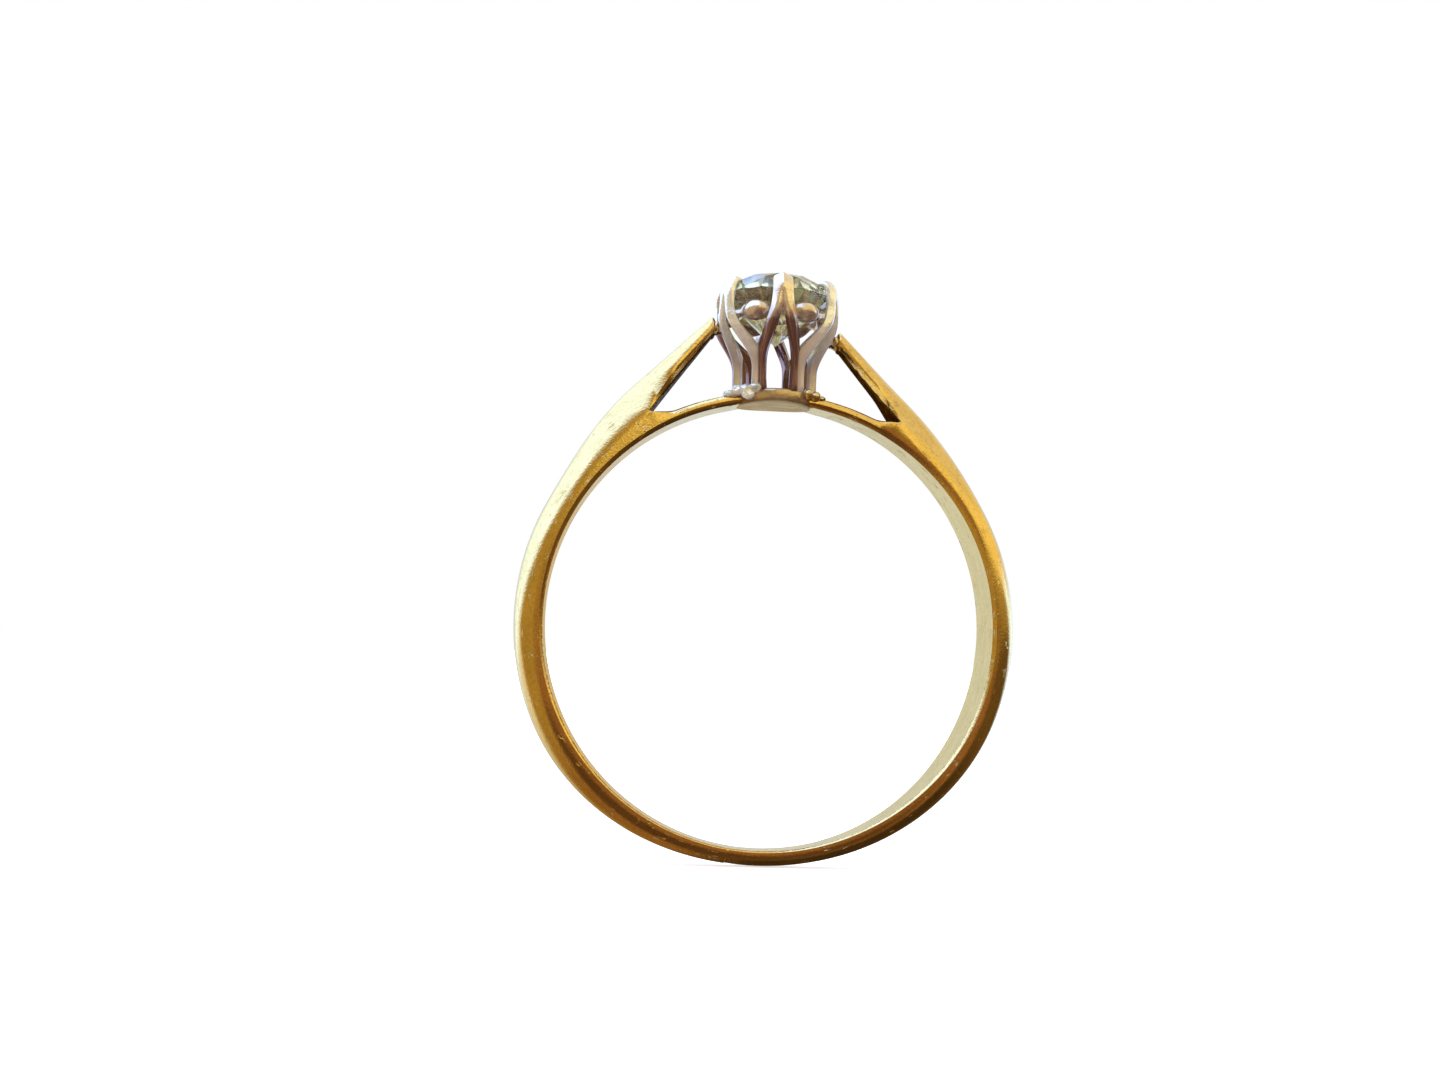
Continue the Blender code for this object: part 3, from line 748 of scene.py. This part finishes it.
def build_seat(material):
    """Bearing ring that swells between the claws, its top edge cut to the pavilion."""
    mesh = bmesh.new()
    slope = math.radians(PAVILION_ANGLE)
    culet = culet_height()
    loops = []
    for station in range(SEAT_SEGMENTS):
        turn = 2.0 * math.pi * station / SEAT_SEGMENTS
        swell = 0.5 - 0.5 * math.cos(len(CLAW_LEAN) * turn)
        wire = mix(SEAT_WIRE - SEAT_PINCH, SEAT_WIRE, swell)
        middle = SEAT_RADIUS + SEAT_BULGE * swell
        loop = []
        for index in range(SEAT_SIDES):
            angle = 2.0 * math.pi * index / SEAT_SIDES
            radius = middle + wire * math.cos(angle)
            height = SEAT_HEIGHT + wire * math.sin(angle)
            depth = (height - culet) * math.cos(slope) - radius * math.sin(slope)
            depth += SEAT_CLEARANCE
            if depth > 0.0:
                radius += depth * math.sin(slope)
                height -= depth * math.cos(slope)
            loop.append(mesh.verts.new((radius * math.sin(turn), -radius * math.cos(turn), height)))
        loops.append(loop)
    loft(mesh, loops + [loops[0]])
    return finish_piece("bearing_ring", mesh, material, ("seat_ring",))


def claw_outer(height):
    return mix(FOOT_RADIUS, CLAW_RADIUS, ease(height, *CLAW_FLARE))


# The claws are subdivided, which draws them in from this cage, so it is a little wider
CAGE_PRONG_WIDTH = 0.80
CAGE_LEG_WIDTH = 0.50
CAGE_FOOT_WIDTH = 0.42
CAGE_THICKNESS = 0.40
FOOT_THICKNESS = 0.56
# Prong from tip to split: radius, height, degrees its outside faces up, shares of its
# thickness and of its width
PRONG_BEND = (
    (1.74, 13.05, 112.0, 0.50, 0.40),
    (1.82, 13.09, 100.0, 0.74, 0.70),
    (1.98, 13.12, 80.0, 0.96, 0.88),
    (2.16, 13.04, 54.0, 1.06, 0.94),
    (2.27, 12.82, 28.0, 1.08, 0.97),
    (2.32, 12.50, 12.0, 1.06, 1.00),
)
PRONG_FLAT = 0.05                # share of the half width along the ridge left flat
PRONG_RIDGE = {"claw_front": 0.40}
PLAIN_RIDGE = 0.16
TIP_WEAR = 0.42
LEG_COLUMNS = 5
LEG_FLAT = 0.40
LEG_FALL = 0.60
LEG_STATIONS = 12
LEG_OVERLAP = 0.12               # how far legs reach into the prong and into the plate
LEG_ABREAST = 0.15               # from the claw's middle to each leg's, where they part
LEG_INSET = 0.105                # from midway to the next claw back to the leg's middle
LEG_SINK = 0.01                  # how far legs stand in from the claws' outer line
LEG_NARROWS = (0.55, 1.0)
LEG_DEEPENS = (0.35, 0.9)
FOOT_SPREAD = 1.25
FOOT_SPREADS = (0.3, -0.05)      # heights over the plate
PROBE = 0.05                     # half the height over which a leg's slope is measured


def leg_station(height):
    """A leg at a height: outer radius, outward direction, offset, width, thickness."""
    spread = claw_outer(height + PROBE) - claw_outer(height - PROBE)
    run = Vector((spread, 2.0 * PROBE)).normalized()
    outward = Vector((run.y, -run.x))
    share = math.pi / len(CLAW_LEAN)
    radius = claw_outer(height) - LEG_SINK
    foot = share * (claw_outer(LEG_MEET) - CLAW_THICKNESS / 2.0) - LEG_INSET
    amount = min((LEG_SPLIT - height) / (LEG_SPLIT - LEG_MEET), 1.0)
    width = mix(CAGE_LEG_WIDTH, CAGE_FOOT_WIDTH, ease(amount, *LEG_NARROWS))
    offset = mix(LEG_ABREAST, foot, amount)
    if height < LEG_MEET:
        offset = share * (radius - CLAW_THICKNESS / 2.0) - LEG_INSET
    thickness = mix(CAGE_THICKNESS, FOOT_THICKNESS, ease(amount, *LEG_DEEPENS))
    return radius, outward, offset, width, thickness


def build_claw(name, azimuth, lean, material):
    """One claw: a bent prong over the stone that divides into two legs, an inverted V."""
    mesh = bmesh.new()
    ridge = PRONG_RIDGE.get(name, PLAIN_RIDGE)

    def spot(radius, height, across):
        facing = azimuth + lean * ease(height, LEG_MEET, LEG_SPLIT)
        angle = math.radians(facing) + across / radius
        return mesh.verts.new((radius * math.sin(angle), -radius * math.cos(angle), height))

    def strip(radius, height, outward, columns):
        """Columns hold (across, reach outward, reach inward) from the radius and height."""
        front = []
        back = []
        for across, out, inn in columns:
            front.append(spot(radius + outward.x * out, height + outward.y * out, across))
            back.append(spot(radius - outward.x * inn, height - outward.y * inn, across))
        return front, back

    def columns_across(middle, width, out, inn, count, flat, fall, worn=0.0):
        """Flat over the middle share, then falling away to broken and worn edges."""
        columns = []
        for index in range(count):
            across = 2.0 * index / (count - 1) - 1.0
            drop = fall * (out + inn) * max(abs(across) - flat, 0.0) / (1.0 - flat)
            drop += worn * (out + inn) * across ** 4
            columns.append((middle + across * width / 2.0, out - drop, inn - drop))
        return columns

    def skin(upper, lower):
        for above, below in zip(upper, lower):
            for index in range(len(above) - 1):
                mesh.faces.new((above[index], above[index + 1], below[index + 1], below[index]))
        for edge in (0, -1):
            mesh.faces.new((upper[0][edge], upper[1][edge], lower[1][edge], lower[0][edge]))

    stations = []
    for row, (radius, height, tilt, thick, wide) in enumerate(PRONG_BEND):
        outward = Vector((math.cos(math.radians(tilt)), math.sin(math.radians(tilt))))
        half = CAGE_THICKNESS / 2.0 * thick
        worn = (TIP_WEAR - ridge) * (1.0 - row / len(PRONG_BEND))
        columns = columns_across(0.0, CAGE_PRONG_WIDTH * wide, half, half,
                                 2 * LEG_COLUMNS - 1, PRONG_FLAT, ridge, worn)
        stations.append(strip(radius, height, outward, columns))
    for upper, lower in zip(stations, stations[1:]):
        skin(upper, lower)
    tip_front, tip_back = stations[0]
    for index in range(len(tip_front) - 1):
        mesh.faces.new((tip_front[index], tip_front[index + 1],
                        tip_back[index + 1], tip_back[index]))

    split_front, split_back = stations[-1]
    top = LEG_SPLIT - LEG_OVERLAP
    bottom = BASE_TOP - LEG_OVERLAP
    for sign in (-1, 1):
        own = slice(0, LEG_COLUMNS) if sign < 0 else slice(LEG_COLUMNS - 1, None)
        above = (split_front[own], split_back[own])
        for index in range(LEG_STATIONS + 1):
            height = mix(top, bottom, index / LEG_STATIONS)
            radius, outward, offset, width, thickness = leg_station(height)
            spread = ease(height, BASE_TOP + FOOT_SPREADS[0], BASE_TOP + FOOT_SPREADS[1])
            width *= mix(1.0, FOOT_SPREAD, spread)
            columns = columns_across(sign * offset, width, 0.0, thickness,
                                     LEG_COLUMNS, LEG_FLAT, LEG_FALL)
            station = strip(radius, height, outward, columns)
            skin(above, station)
            above = station
        for index in range(len(above[0]) - 1):
            mesh.faces.new((above[0][index], above[0][index + 1],
                            above[1][index + 1], above[1][index]))
    return finish_piece(name + "_polished", mesh, material, (name,), subdivide=2)


# ---------------------------------------------------------------- stone

BLANK_SPARE = 0.5                # how far the round blank stands past the cut stone
BLANK_SEGMENTS = 96
CUT_TOLERANCE = 1e-5


def stone_planes():
    """Facet planes of a round brilliant, each as a point and an outward normal."""
    step = 360.0 / STONE_FOLD
    girdle_low = GIRDLE_TOP - GIRDLE_THICKNESS
    culet = Vector((0.0, 0.0, culet_height()))
    crown_slope = (TABLE_HEIGHT - GIRDLE_TOP) / (STONE_RADIUS - TABLE_RADIUS)
    pavilion_slope = math.tan(math.radians(PAVILION_ANGLE))
    reach = math.cos(math.radians(step / 2.0))
    star_height = TABLE_HEIGHT - (STAR_RADIUS * reach - TABLE_RADIUS) * crown_slope
    low_height = culet.z + LOWER_HALF_RADIUS * reach * pavilion_slope

    def at(radius, degrees, height):
        angle = math.radians(degrees)
        return Vector((radius * math.cos(angle), radius * math.sin(angle), height))

    def facet(first, second, third):
        normal = (second - first).cross(third - first).normalized()
        centre = Vector((0.0, 0.0, GIRDLE_TOP))
        if normal.dot(first - centre) < 0.0:
            normal = -normal
        return first, normal

    planes = [(Vector((0.0, 0.0, TABLE_HEIGHT)), Vector((0.0, 0.0, 1.0)))]
    for index in range(STONE_FOLD):
        main = index * step
        middle = main + step / 2.0
        star = at(STAR_RADIUS, middle, star_height)
        low = at(LOWER_HALF_RADIUS, middle, low_height)
        corner = at(TABLE_RADIUS, main, TABLE_HEIGHT)
        next_corner = at(TABLE_RADIUS, main + step, TABLE_HEIGHT)
        planes.append(facet(corner, at(STONE_RADIUS, main, GIRDLE_TOP), star))
        planes.append(facet(corner, next_corner, star))
        planes.append(facet(culet, at(STONE_RADIUS, main, girdle_low), low))
        for near in (main, main + step):
            high_near = at(STONE_RADIUS, near, GIRDLE_TOP)
            low_near = at(STONE_RADIUS, near, girdle_low)
            planes.append(facet(star, high_near, at(STONE_RADIUS, middle, GIRDLE_TOP)))
            planes.append(facet(low, low_near, at(STONE_RADIUS, middle, girdle_low)))
    return planes


def build_stone(material):
    """Cut the stone from a round blank, one facet plane at a time."""
    mesh = bmesh.new()
    loops = []
    for height in (culet_height() - BLANK_SPARE, TABLE_HEIGHT + BLANK_SPARE):
        loop = []
        for index in range(BLANK_SEGMENTS):
            angle = 2.0 * math.pi * index / BLANK_SEGMENTS
            loop.append(mesh.verts.new((STONE_RADIUS * math.cos(angle),
                                        STONE_RADIUS * math.sin(angle), height)))
        mesh.faces.new(loop)
        loops.append(loop)
    loft(mesh, loops)
    for point, normal in stone_planes():
        geometry = mesh.verts[:] + mesh.edges[:] + mesh.faces[:]
        cut = bmesh.ops.bisect_plane(mesh, geom=geometry, dist=CUT_TOLERANCE, plane_co=point,
                                     plane_no=normal, clear_outer=True)
        edges = [item for item in cut["geom_cut"] if isinstance(item, bmesh.types.BMEdge)]
        edges = [edge for edge in edges if edge.is_boundary]
        if edges:
            bmesh.ops.edgeloop_fill(mesh, edges=edges)
    return finish_piece("brilliant", mesh, material, ("diamond",), flat=True)


# ---------------------------------------------------------------- solder

SOLDER_VOXEL = 0.03
SOLDER_SMOOTHING = (6, 0.5)      # rounds, strength
RIPPLE_PACE = 7.0
RIPPLE_FRACTAL = (0.7, 2.0, 3)   # falling off, finer by, octaves
ROUGH_RIPPLE = 0.035
SMOOTH_RIPPLE = 0.012
# Each lump is a middle and three half sizes; two at each side lie on the rail's top
LUMP_X = 1.74
RAIL_TOP = math.sqrt((BORE + RAIL_THICKNESS) ** 2 - LUMP_X * LUMP_X)
LUMPS_LEFT = (
    ((-LUMP_X, -0.62, RAIL_TOP + 0.02), (0.30, 0.34, 0.16)),
    ((-LUMP_X, 0.20, RAIL_TOP + 0.08), (0.24, 0.40, 0.20)),
    ((-1.46, -0.95, 8.90), (0.30, 0.22, 0.22)),
    ((-1.14, -1.18, 8.93), (0.32, 0.24, 0.20)),
    ((-1.10, -1.22, 8.72), (0.26, 0.22, 0.20)),
    ((-0.82, -1.34, 8.98), (0.24, 0.20, 0.18)),
)
LUMPS_RIGHT = (
    ((LUMP_X, -0.52, RAIL_TOP - 0.02), (0.24, 0.36, 0.17)),
    ((LUMP_X, 0.25, RAIL_TOP + 0.04), (0.20, 0.36, 0.17)),
    ((1.50, -0.86, 8.80), (0.22, 0.20, 0.20)),
    ((1.20, -1.10, 8.84), (0.18, 0.18, 0.22)),
)
# At an arm's tip they are placed below the tip's top, mirrored to each side
LUMPS_TIP = (
    ((2.34, -0.10, -0.42), (0.20, 0.34, 0.28)),
    ((2.22, 0.12, -0.34), (0.20, 0.34, 0.26)),
)
RIPPLE_SEEDS = {"left": 3.0, "right": 8.0, "tip_left": 4.0, "tip_right": 6.0}


def build_blob(name, lumps, material, node, rough, seed):
    """Melted solder: overlapping lumps fused into one skin and roughened."""
    mesh = bmesh.new()
    for (x, y, z), (rx, ry, rz) in lumps:
        made = bmesh.ops.create_icosphere(mesh, subdivisions=3, radius=1.0)
        for vertex in made["verts"]:
            vertex.co = Vector((x + vertex.co.x * rx, y + vertex.co.y * ry, z + vertex.co.z * rz))
    temporary = add_mesh(name + "_lumps", mesh)
    fuse = temporary.modifiers.new("fuse", "REMESH")
    fuse.mode = "VOXEL"
    fuse.voxel_size = SOLDER_VOXEL
    soften = temporary.modifiers.new("soften", "SMOOTH")
    soften.iterations, soften.factor = SOLDER_SMOOTHING
    depsgraph = bpy.context.evaluated_depsgraph_get()
    fused = bpy.data.meshes.new_from_object(temporary.evaluated_get(depsgraph))
    bpy.data.objects.remove(temporary, do_unlink=True)
    mesh = bmesh.new()
    mesh.from_mesh(fused)
    mesh.normal_update()
    for vertex in mesh.verts:
        spot = vertex.co * RIPPLE_PACE + Vector((seed, 0.0, 0.0))
        vertex.co += vertex.normal * rough * noise.fractal(spot, *RIPPLE_FRACTAL)
    return finish_piece(name, mesh, material, (node,))


def build_solders(bright, rough):
    """The four joints where solder shows."""
    build_blob("solder_rough_left", LUMPS_LEFT, rough, "base_solder_left",
               ROUGH_RIPPLE, RIPPLE_SEEDS["left"])
    build_blob("solder_bead_right", LUMPS_RIGHT, bright, "base_solder_right",
               SMOOTH_RIPPLE, RIPPLE_SEEDS["right"])
    for side, sign in (("left", -1.0), ("right", 1.0)):
        lumps = [((sign * x, y, tip_top(side) + z), size) for (x, y, z), size in LUMPS_TIP]
        build_blob("solder_tip_" + side, lumps, bright, "shoulder_solder_" + side,
                   SMOOTH_RIPPLE, RIPPLE_SEEDS["tip_" + side])


# ---------------------------------------------------------------- studio

FOCAL_PIXELS = 1526.3
IMAGE_WIDTH = 1445.0
SENSOR = 36.0
CAMERA_PLACE = Vector((-6.28, -58.32, -0.89))
CAMERA_YAW = 4.39
CAMERA_PITCH = 3.95
CAMERA_ROLL = 1.90
CAMERA_CLIP = (0.001, 10.0)
FLOOR_GAP = 0.00002
FLOOR_REACH = 1.2
FLOOR_COLOUR = (0.93, 0.93, 0.93)
FLOOR_GLOW = 0.62
FLOOR_ROUGHNESS = 0.9
WHITE = (1.0, 1.0, 1.0)
LAMP_SPREAD = 70.0
LAMP_STRENGTH = 2.6


def build_camera():
    yaw = math.radians(CAMERA_YAW)
    pitch = math.radians(CAMERA_PITCH)
    roll = math.radians(CAMERA_ROLL)
    forward = Vector((math.sin(yaw) * math.cos(pitch), math.cos(yaw) * math.cos(pitch),
                      math.sin(pitch)))
    level = Vector((math.cos(yaw), -math.sin(yaw), 0.0))
    over = level.cross(forward)
    right = level * math.cos(roll) + over * math.sin(roll)
    up = over * math.cos(roll) - level * math.sin(roll)
    data = bpy.data.cameras.new("camera")
    data.sensor_width = SENSOR
    data.lens = FOCAL_PIXELS / IMAGE_WIDTH * SENSOR
    data.clip_start, data.clip_end = CAMERA_CLIP
    camera = add_object("camera", data)
    axes = Matrix((right, up, -forward)).transposed()
    camera.matrix_world = Matrix.Translation(CAMERA_PLACE * TO_METRES) @ axes.to_4x4()
    bpy.context.scene.camera = camera


def build_floor():
    """Plain pale floor just under the band."""
    height = CAD_BOX[0].z - FLOOR_GAP
    mesh = bmesh.new()
    corners = place(mesh, [(x * FLOOR_REACH, y * FLOOR_REACH, height)
                           for x, y in ((-1, -1), (1, -1), (1, 1), (-1, 1))])
    mesh.faces.new(corners)
    floor = add_mesh("floor", mesh)
    material = bpy.data.materials.new("pale_floor")
    material.use_nodes = True
    shader = material.node_tree.nodes["Principled BSDF"]
    shader.inputs["Base Color"].default_value = (*FLOOR_COLOUR, 1.0)
    shader.inputs["Emission Color"].default_value = (*WHITE, 1.0)
    shader.inputs["Emission Strength"].default_value = FLOOR_GLOW
    shader.inputs["Roughness"].default_value = FLOOR_ROUGHNESS
    shader.inputs["Specular IOR Level"].default_value = 0.0
    floor.data.materials.append(material)
    floor.visible_glossy = False
    floor.visible_transmission = False


# The room as the metal sees it, painted in layers: name, colour, then one or more
# ramps that fade the layer in, each an aim and the part of it where the fade starts and ends
ROOM = (0.31, 0.17, 0.06)
FRONT_AND_DOWN = (0.0, -0.87, -0.50)
GLINT_LEFT = (-0.62, -0.30, 0.72)
GLINT_RIGHT = (0.55, -0.50, 0.67)
FRONT_AND_LOW = (-0.10, -0.72, -0.68)
UP_AND_BACK = (0.0, 0.43, 0.90)
LAYERS = (
    ("warm_wall_left", (0.45, 0.32, 0.09), ((UPWARD, -0.85, -0.50),)),
    ("dark_right", (0.06, 0.04, 0.02), ((RIGHTWARD, -0.20, 0.06),)),
    ("dim_right", (0.15, 0.095, 0.035), ((RIGHTWARD, -0.08, 0.08), (UPWARD, -0.75, -0.35))),
    ("horizon_left", (0.48, 0.36, 0.10), ((UPWARD, -0.20, 0.05), (RIGHTWARD, 0.08, -0.08))),
    ("horizon_right", (0.46, 0.34, 0.10), ((UPWARD, -0.06, 0.10), (RIGHTWARD, -0.08, 0.08))),
    ("front_low", (0.34, 0.18, 0.07), ((FRONT_AND_DOWN, 0.72, 0.93),)),
    ("dark_below", (0.12, 0.065, 0.03), ((FRONT_AND_LOW, 0.82, 0.95),)),
    ("low_left", (0.95, 1.05, 1.20), ((BEHIND, 0.20, 0.50), (UPWARD, -0.70, -0.35),
                                     (RIGHTWARD, -0.20, -0.50))),
    ("sky_left", (1.30, 1.95, 3.50), ((UP_AND_BACK, 0.08, 0.30),)),
    ("sky_right", (1.15, 1.00, 0.38), ((UPWARD, 0.14, 0.30), (RIGHTWARD, -0.08, 0.10))),
    ("high_right", (0.92, 0.86, 0.58), ((UPWARD, 0.42, 0.65), (RIGHTWARD, -0.08, 0.10))),
    ("pale_right", (1.00, 1.08, 1.25), ((UPWARD, 0.05, 0.20), (BEHIND, 0.36, 0.60),
                                       (RIGHTWARD, 0.20, 0.45))),
    ("wall_behind", (0.86, 1.10, 1.45), ((BEHIND, 0.76, 0.95), (UPWARD, -0.45, -0.15))),
    ("far_end", (0.72, 0.54, 0.22), ((BEHIND, 0.9900, 0.9945),)),
)
# What matt surfaces gather from all round
FILL = (0.50, 0.44, 0.43)
# What the stone gathers from all round and sends back out: pale above, olive below
STONE_LOW = (0.10, 0.09, 0.02)
STONE_LAYERS = (
    ("stone_middle", (0.27, 0.255, 0.13), ((UPWARD, -0.70, -0.10),)),
    ("stone_high", (0.40, 0.38, 0.21), ((UPWARD, 0.05, 0.50),)),
    ("stone_glint", (1.60, 1.70, 1.30), ((GLINT_LEFT, 0.88, 0.94),)),
    ("stone_glint_right", (1.30, 1.60, 1.40), ((GLINT_RIGHT, 0.93, 0.97),)),
)


def build_room():
    """World light: a warm dim room under a bright soft sky; the camera sees white."""
    world = bpy.data.worlds.new("studio")
    bpy.context.scene.world = world
    world.use_nodes = True
    tree = world.node_tree
    nodes = tree.nodes
    link = tree.links.new
    vector_math, combine, ranged, blend = wiring(tree)
    room = nodes["Background"]
    coordinate = nodes.new("ShaderNodeTexCoord")

    def paint(background, ground, layers):
        painted = ground
        for name, colour, ramps in layers:
            mask = 1.0
            for aim, start, end in ramps:
                facing = vector_math("DOT_PRODUCT", coordinate.outputs["Generated"], aim)
                mask = combine("MULTIPLY", ranged(facing, start, end), mask)
            painted = blend(mask, painted, colour)
            painted.node.name = name
        link(painted, background.inputs["Color"])

    paint(room, ROOM, LAYERS)
    gathered = nodes.new("ShaderNodeBackground")
    paint(gathered, STONE_LOW, STONE_LAYERS)
    fill = nodes.new("ShaderNodeBackground")
    fill.inputs["Color"].default_value = (*FILL, 1.0)
    white = nodes.new("ShaderNodeBackground")
    white.inputs["Color"].default_value = (*WHITE, 1.0)
    path = nodes.new("ShaderNodeLightPath")
    shown = room
    for ray, background in (("Transmission", gathered), ("Diffuse", fill), ("Camera", white)):
        choose = nodes.new("ShaderNodeMixShader")
        link(path.outputs[f"Is {ray} Ray"], choose.inputs["Fac"])
        link(shown.outputs[0], choose.inputs[1])
        link(background.outputs[0], choose.inputs[2])
        shown = choose
    link(shown.outputs[0], nodes["World Output"].inputs["Surface"])


def build_lamp():
    """A very soft overhead lamp keeps the floor white; the metal does not see it."""
    data = bpy.data.lights.new("overhead", "SUN")
    data.angle = math.radians(LAMP_SPREAD)
    data.energy = LAMP_STRENGTH
    lamp = add_object("overhead", data)
    lamp.visible_glossy = False
    lamp.visible_transmission = False


# Every metal's looks, as metal() takes them
METALS = {
    "worn_gold": dict(
        colours=((0.86, 0.58, 0.23), (0.79, 0.53, 0.20)), roughness=(0.06, 0.13), grain=0.007,
        scratch=0.014, shade=(0.85, 0.78, 0.62), along_hoop=True, mottling=0.16),
    # Both white metals are painted darker low down on the claws and seat: painted shade
    "worn_white_metal": dict(
        colours=((0.86, 0.70, 0.52), (0.74, 0.58, 0.44)), roughness=(0.03, 0.10), grain=0.010,
        shade=(0.9, 0.86, 0.82), painted_low_shade=((0.24, 0.12, 0.09), 11.2, 12.0), metallic=0.84),
    # A lit copy of the white metal for the two side claws: painted highlight, paler and less dark
    "white_metal_painted_lit": dict(
        colours=((0.90, 0.84, 0.73), (0.76, 0.70, 0.58)), roughness=(0.05, 0.14), grain=0.012,
        shade=(0.9, 0.86, 0.82), painted_low_shade=((0.60, 0.50, 0.44), 10.0, 11.6), metallic=0.70),
    "base_metal": dict(
        colours=((0.62, 0.47, 0.29), (0.40, 0.24, 0.15)), roughness=(0.06, 0.15), grain=0.015,
        shade=(0.66, 0.52, 0.27), metallic=0.90),
    "gold_solder": dict(
        colours=((0.90, 0.74, 0.46), (0.62, 0.42, 0.24)), roughness=(0.08, 0.20), grain=0.01,
        pitting=0.02),
    "grey_solder": dict(
        colours=((0.86, 0.80, 0.66), (0.42, 0.37, 0.31)), roughness=(0.14, 0.30), grain=0.01,
        pitting=0.03, metallic=0.70),
    # Painted shade: a dark gold on the band's side towards the head, in place of its shade
    "gold_painted_shade": dict(
        colours=((0.15, 0.095, 0.035), (0.09, 0.055, 0.02)), roughness=(0.25, 0.45),
        grain=0.03, shade=(0.24, 0.17, 0.08)),
}
# Claws that take the lit copy of the white metal, a painted highlight
PAINTED_LIT_CLAWS = ("claw_front_left", "claw_front_right")


def main():
    metals = {name: metal(name, **looks) for name, looks in METALS.items()}
    gold = metals["worn_gold"]
    white = metals["worn_white_metal"]
    for side in ("left", "right"):
        build_band(side, gold, metals["gold_painted_shade"])
    build_seam(gold)
    build_base(metals["base_metal"])
    build_seat(white)
    for index, (name, lean) in enumerate(CLAW_LEAN.items()):
        finish = metals["white_metal_painted_lit"] if name in PAINTED_LIT_CLAWS else white
        build_claw(name, index * 360.0 / len(CLAW_LEAN), lean, finish)
    build_stone(gem("clear_stone"))
    build_solders(metals["gold_solder"], metals["grey_solder"])
    build_camera()
    build_floor()
    build_room()
    build_lamp()
    bpy.context.scene.view_settings.view_transform = "Standard"
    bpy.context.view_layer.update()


main()
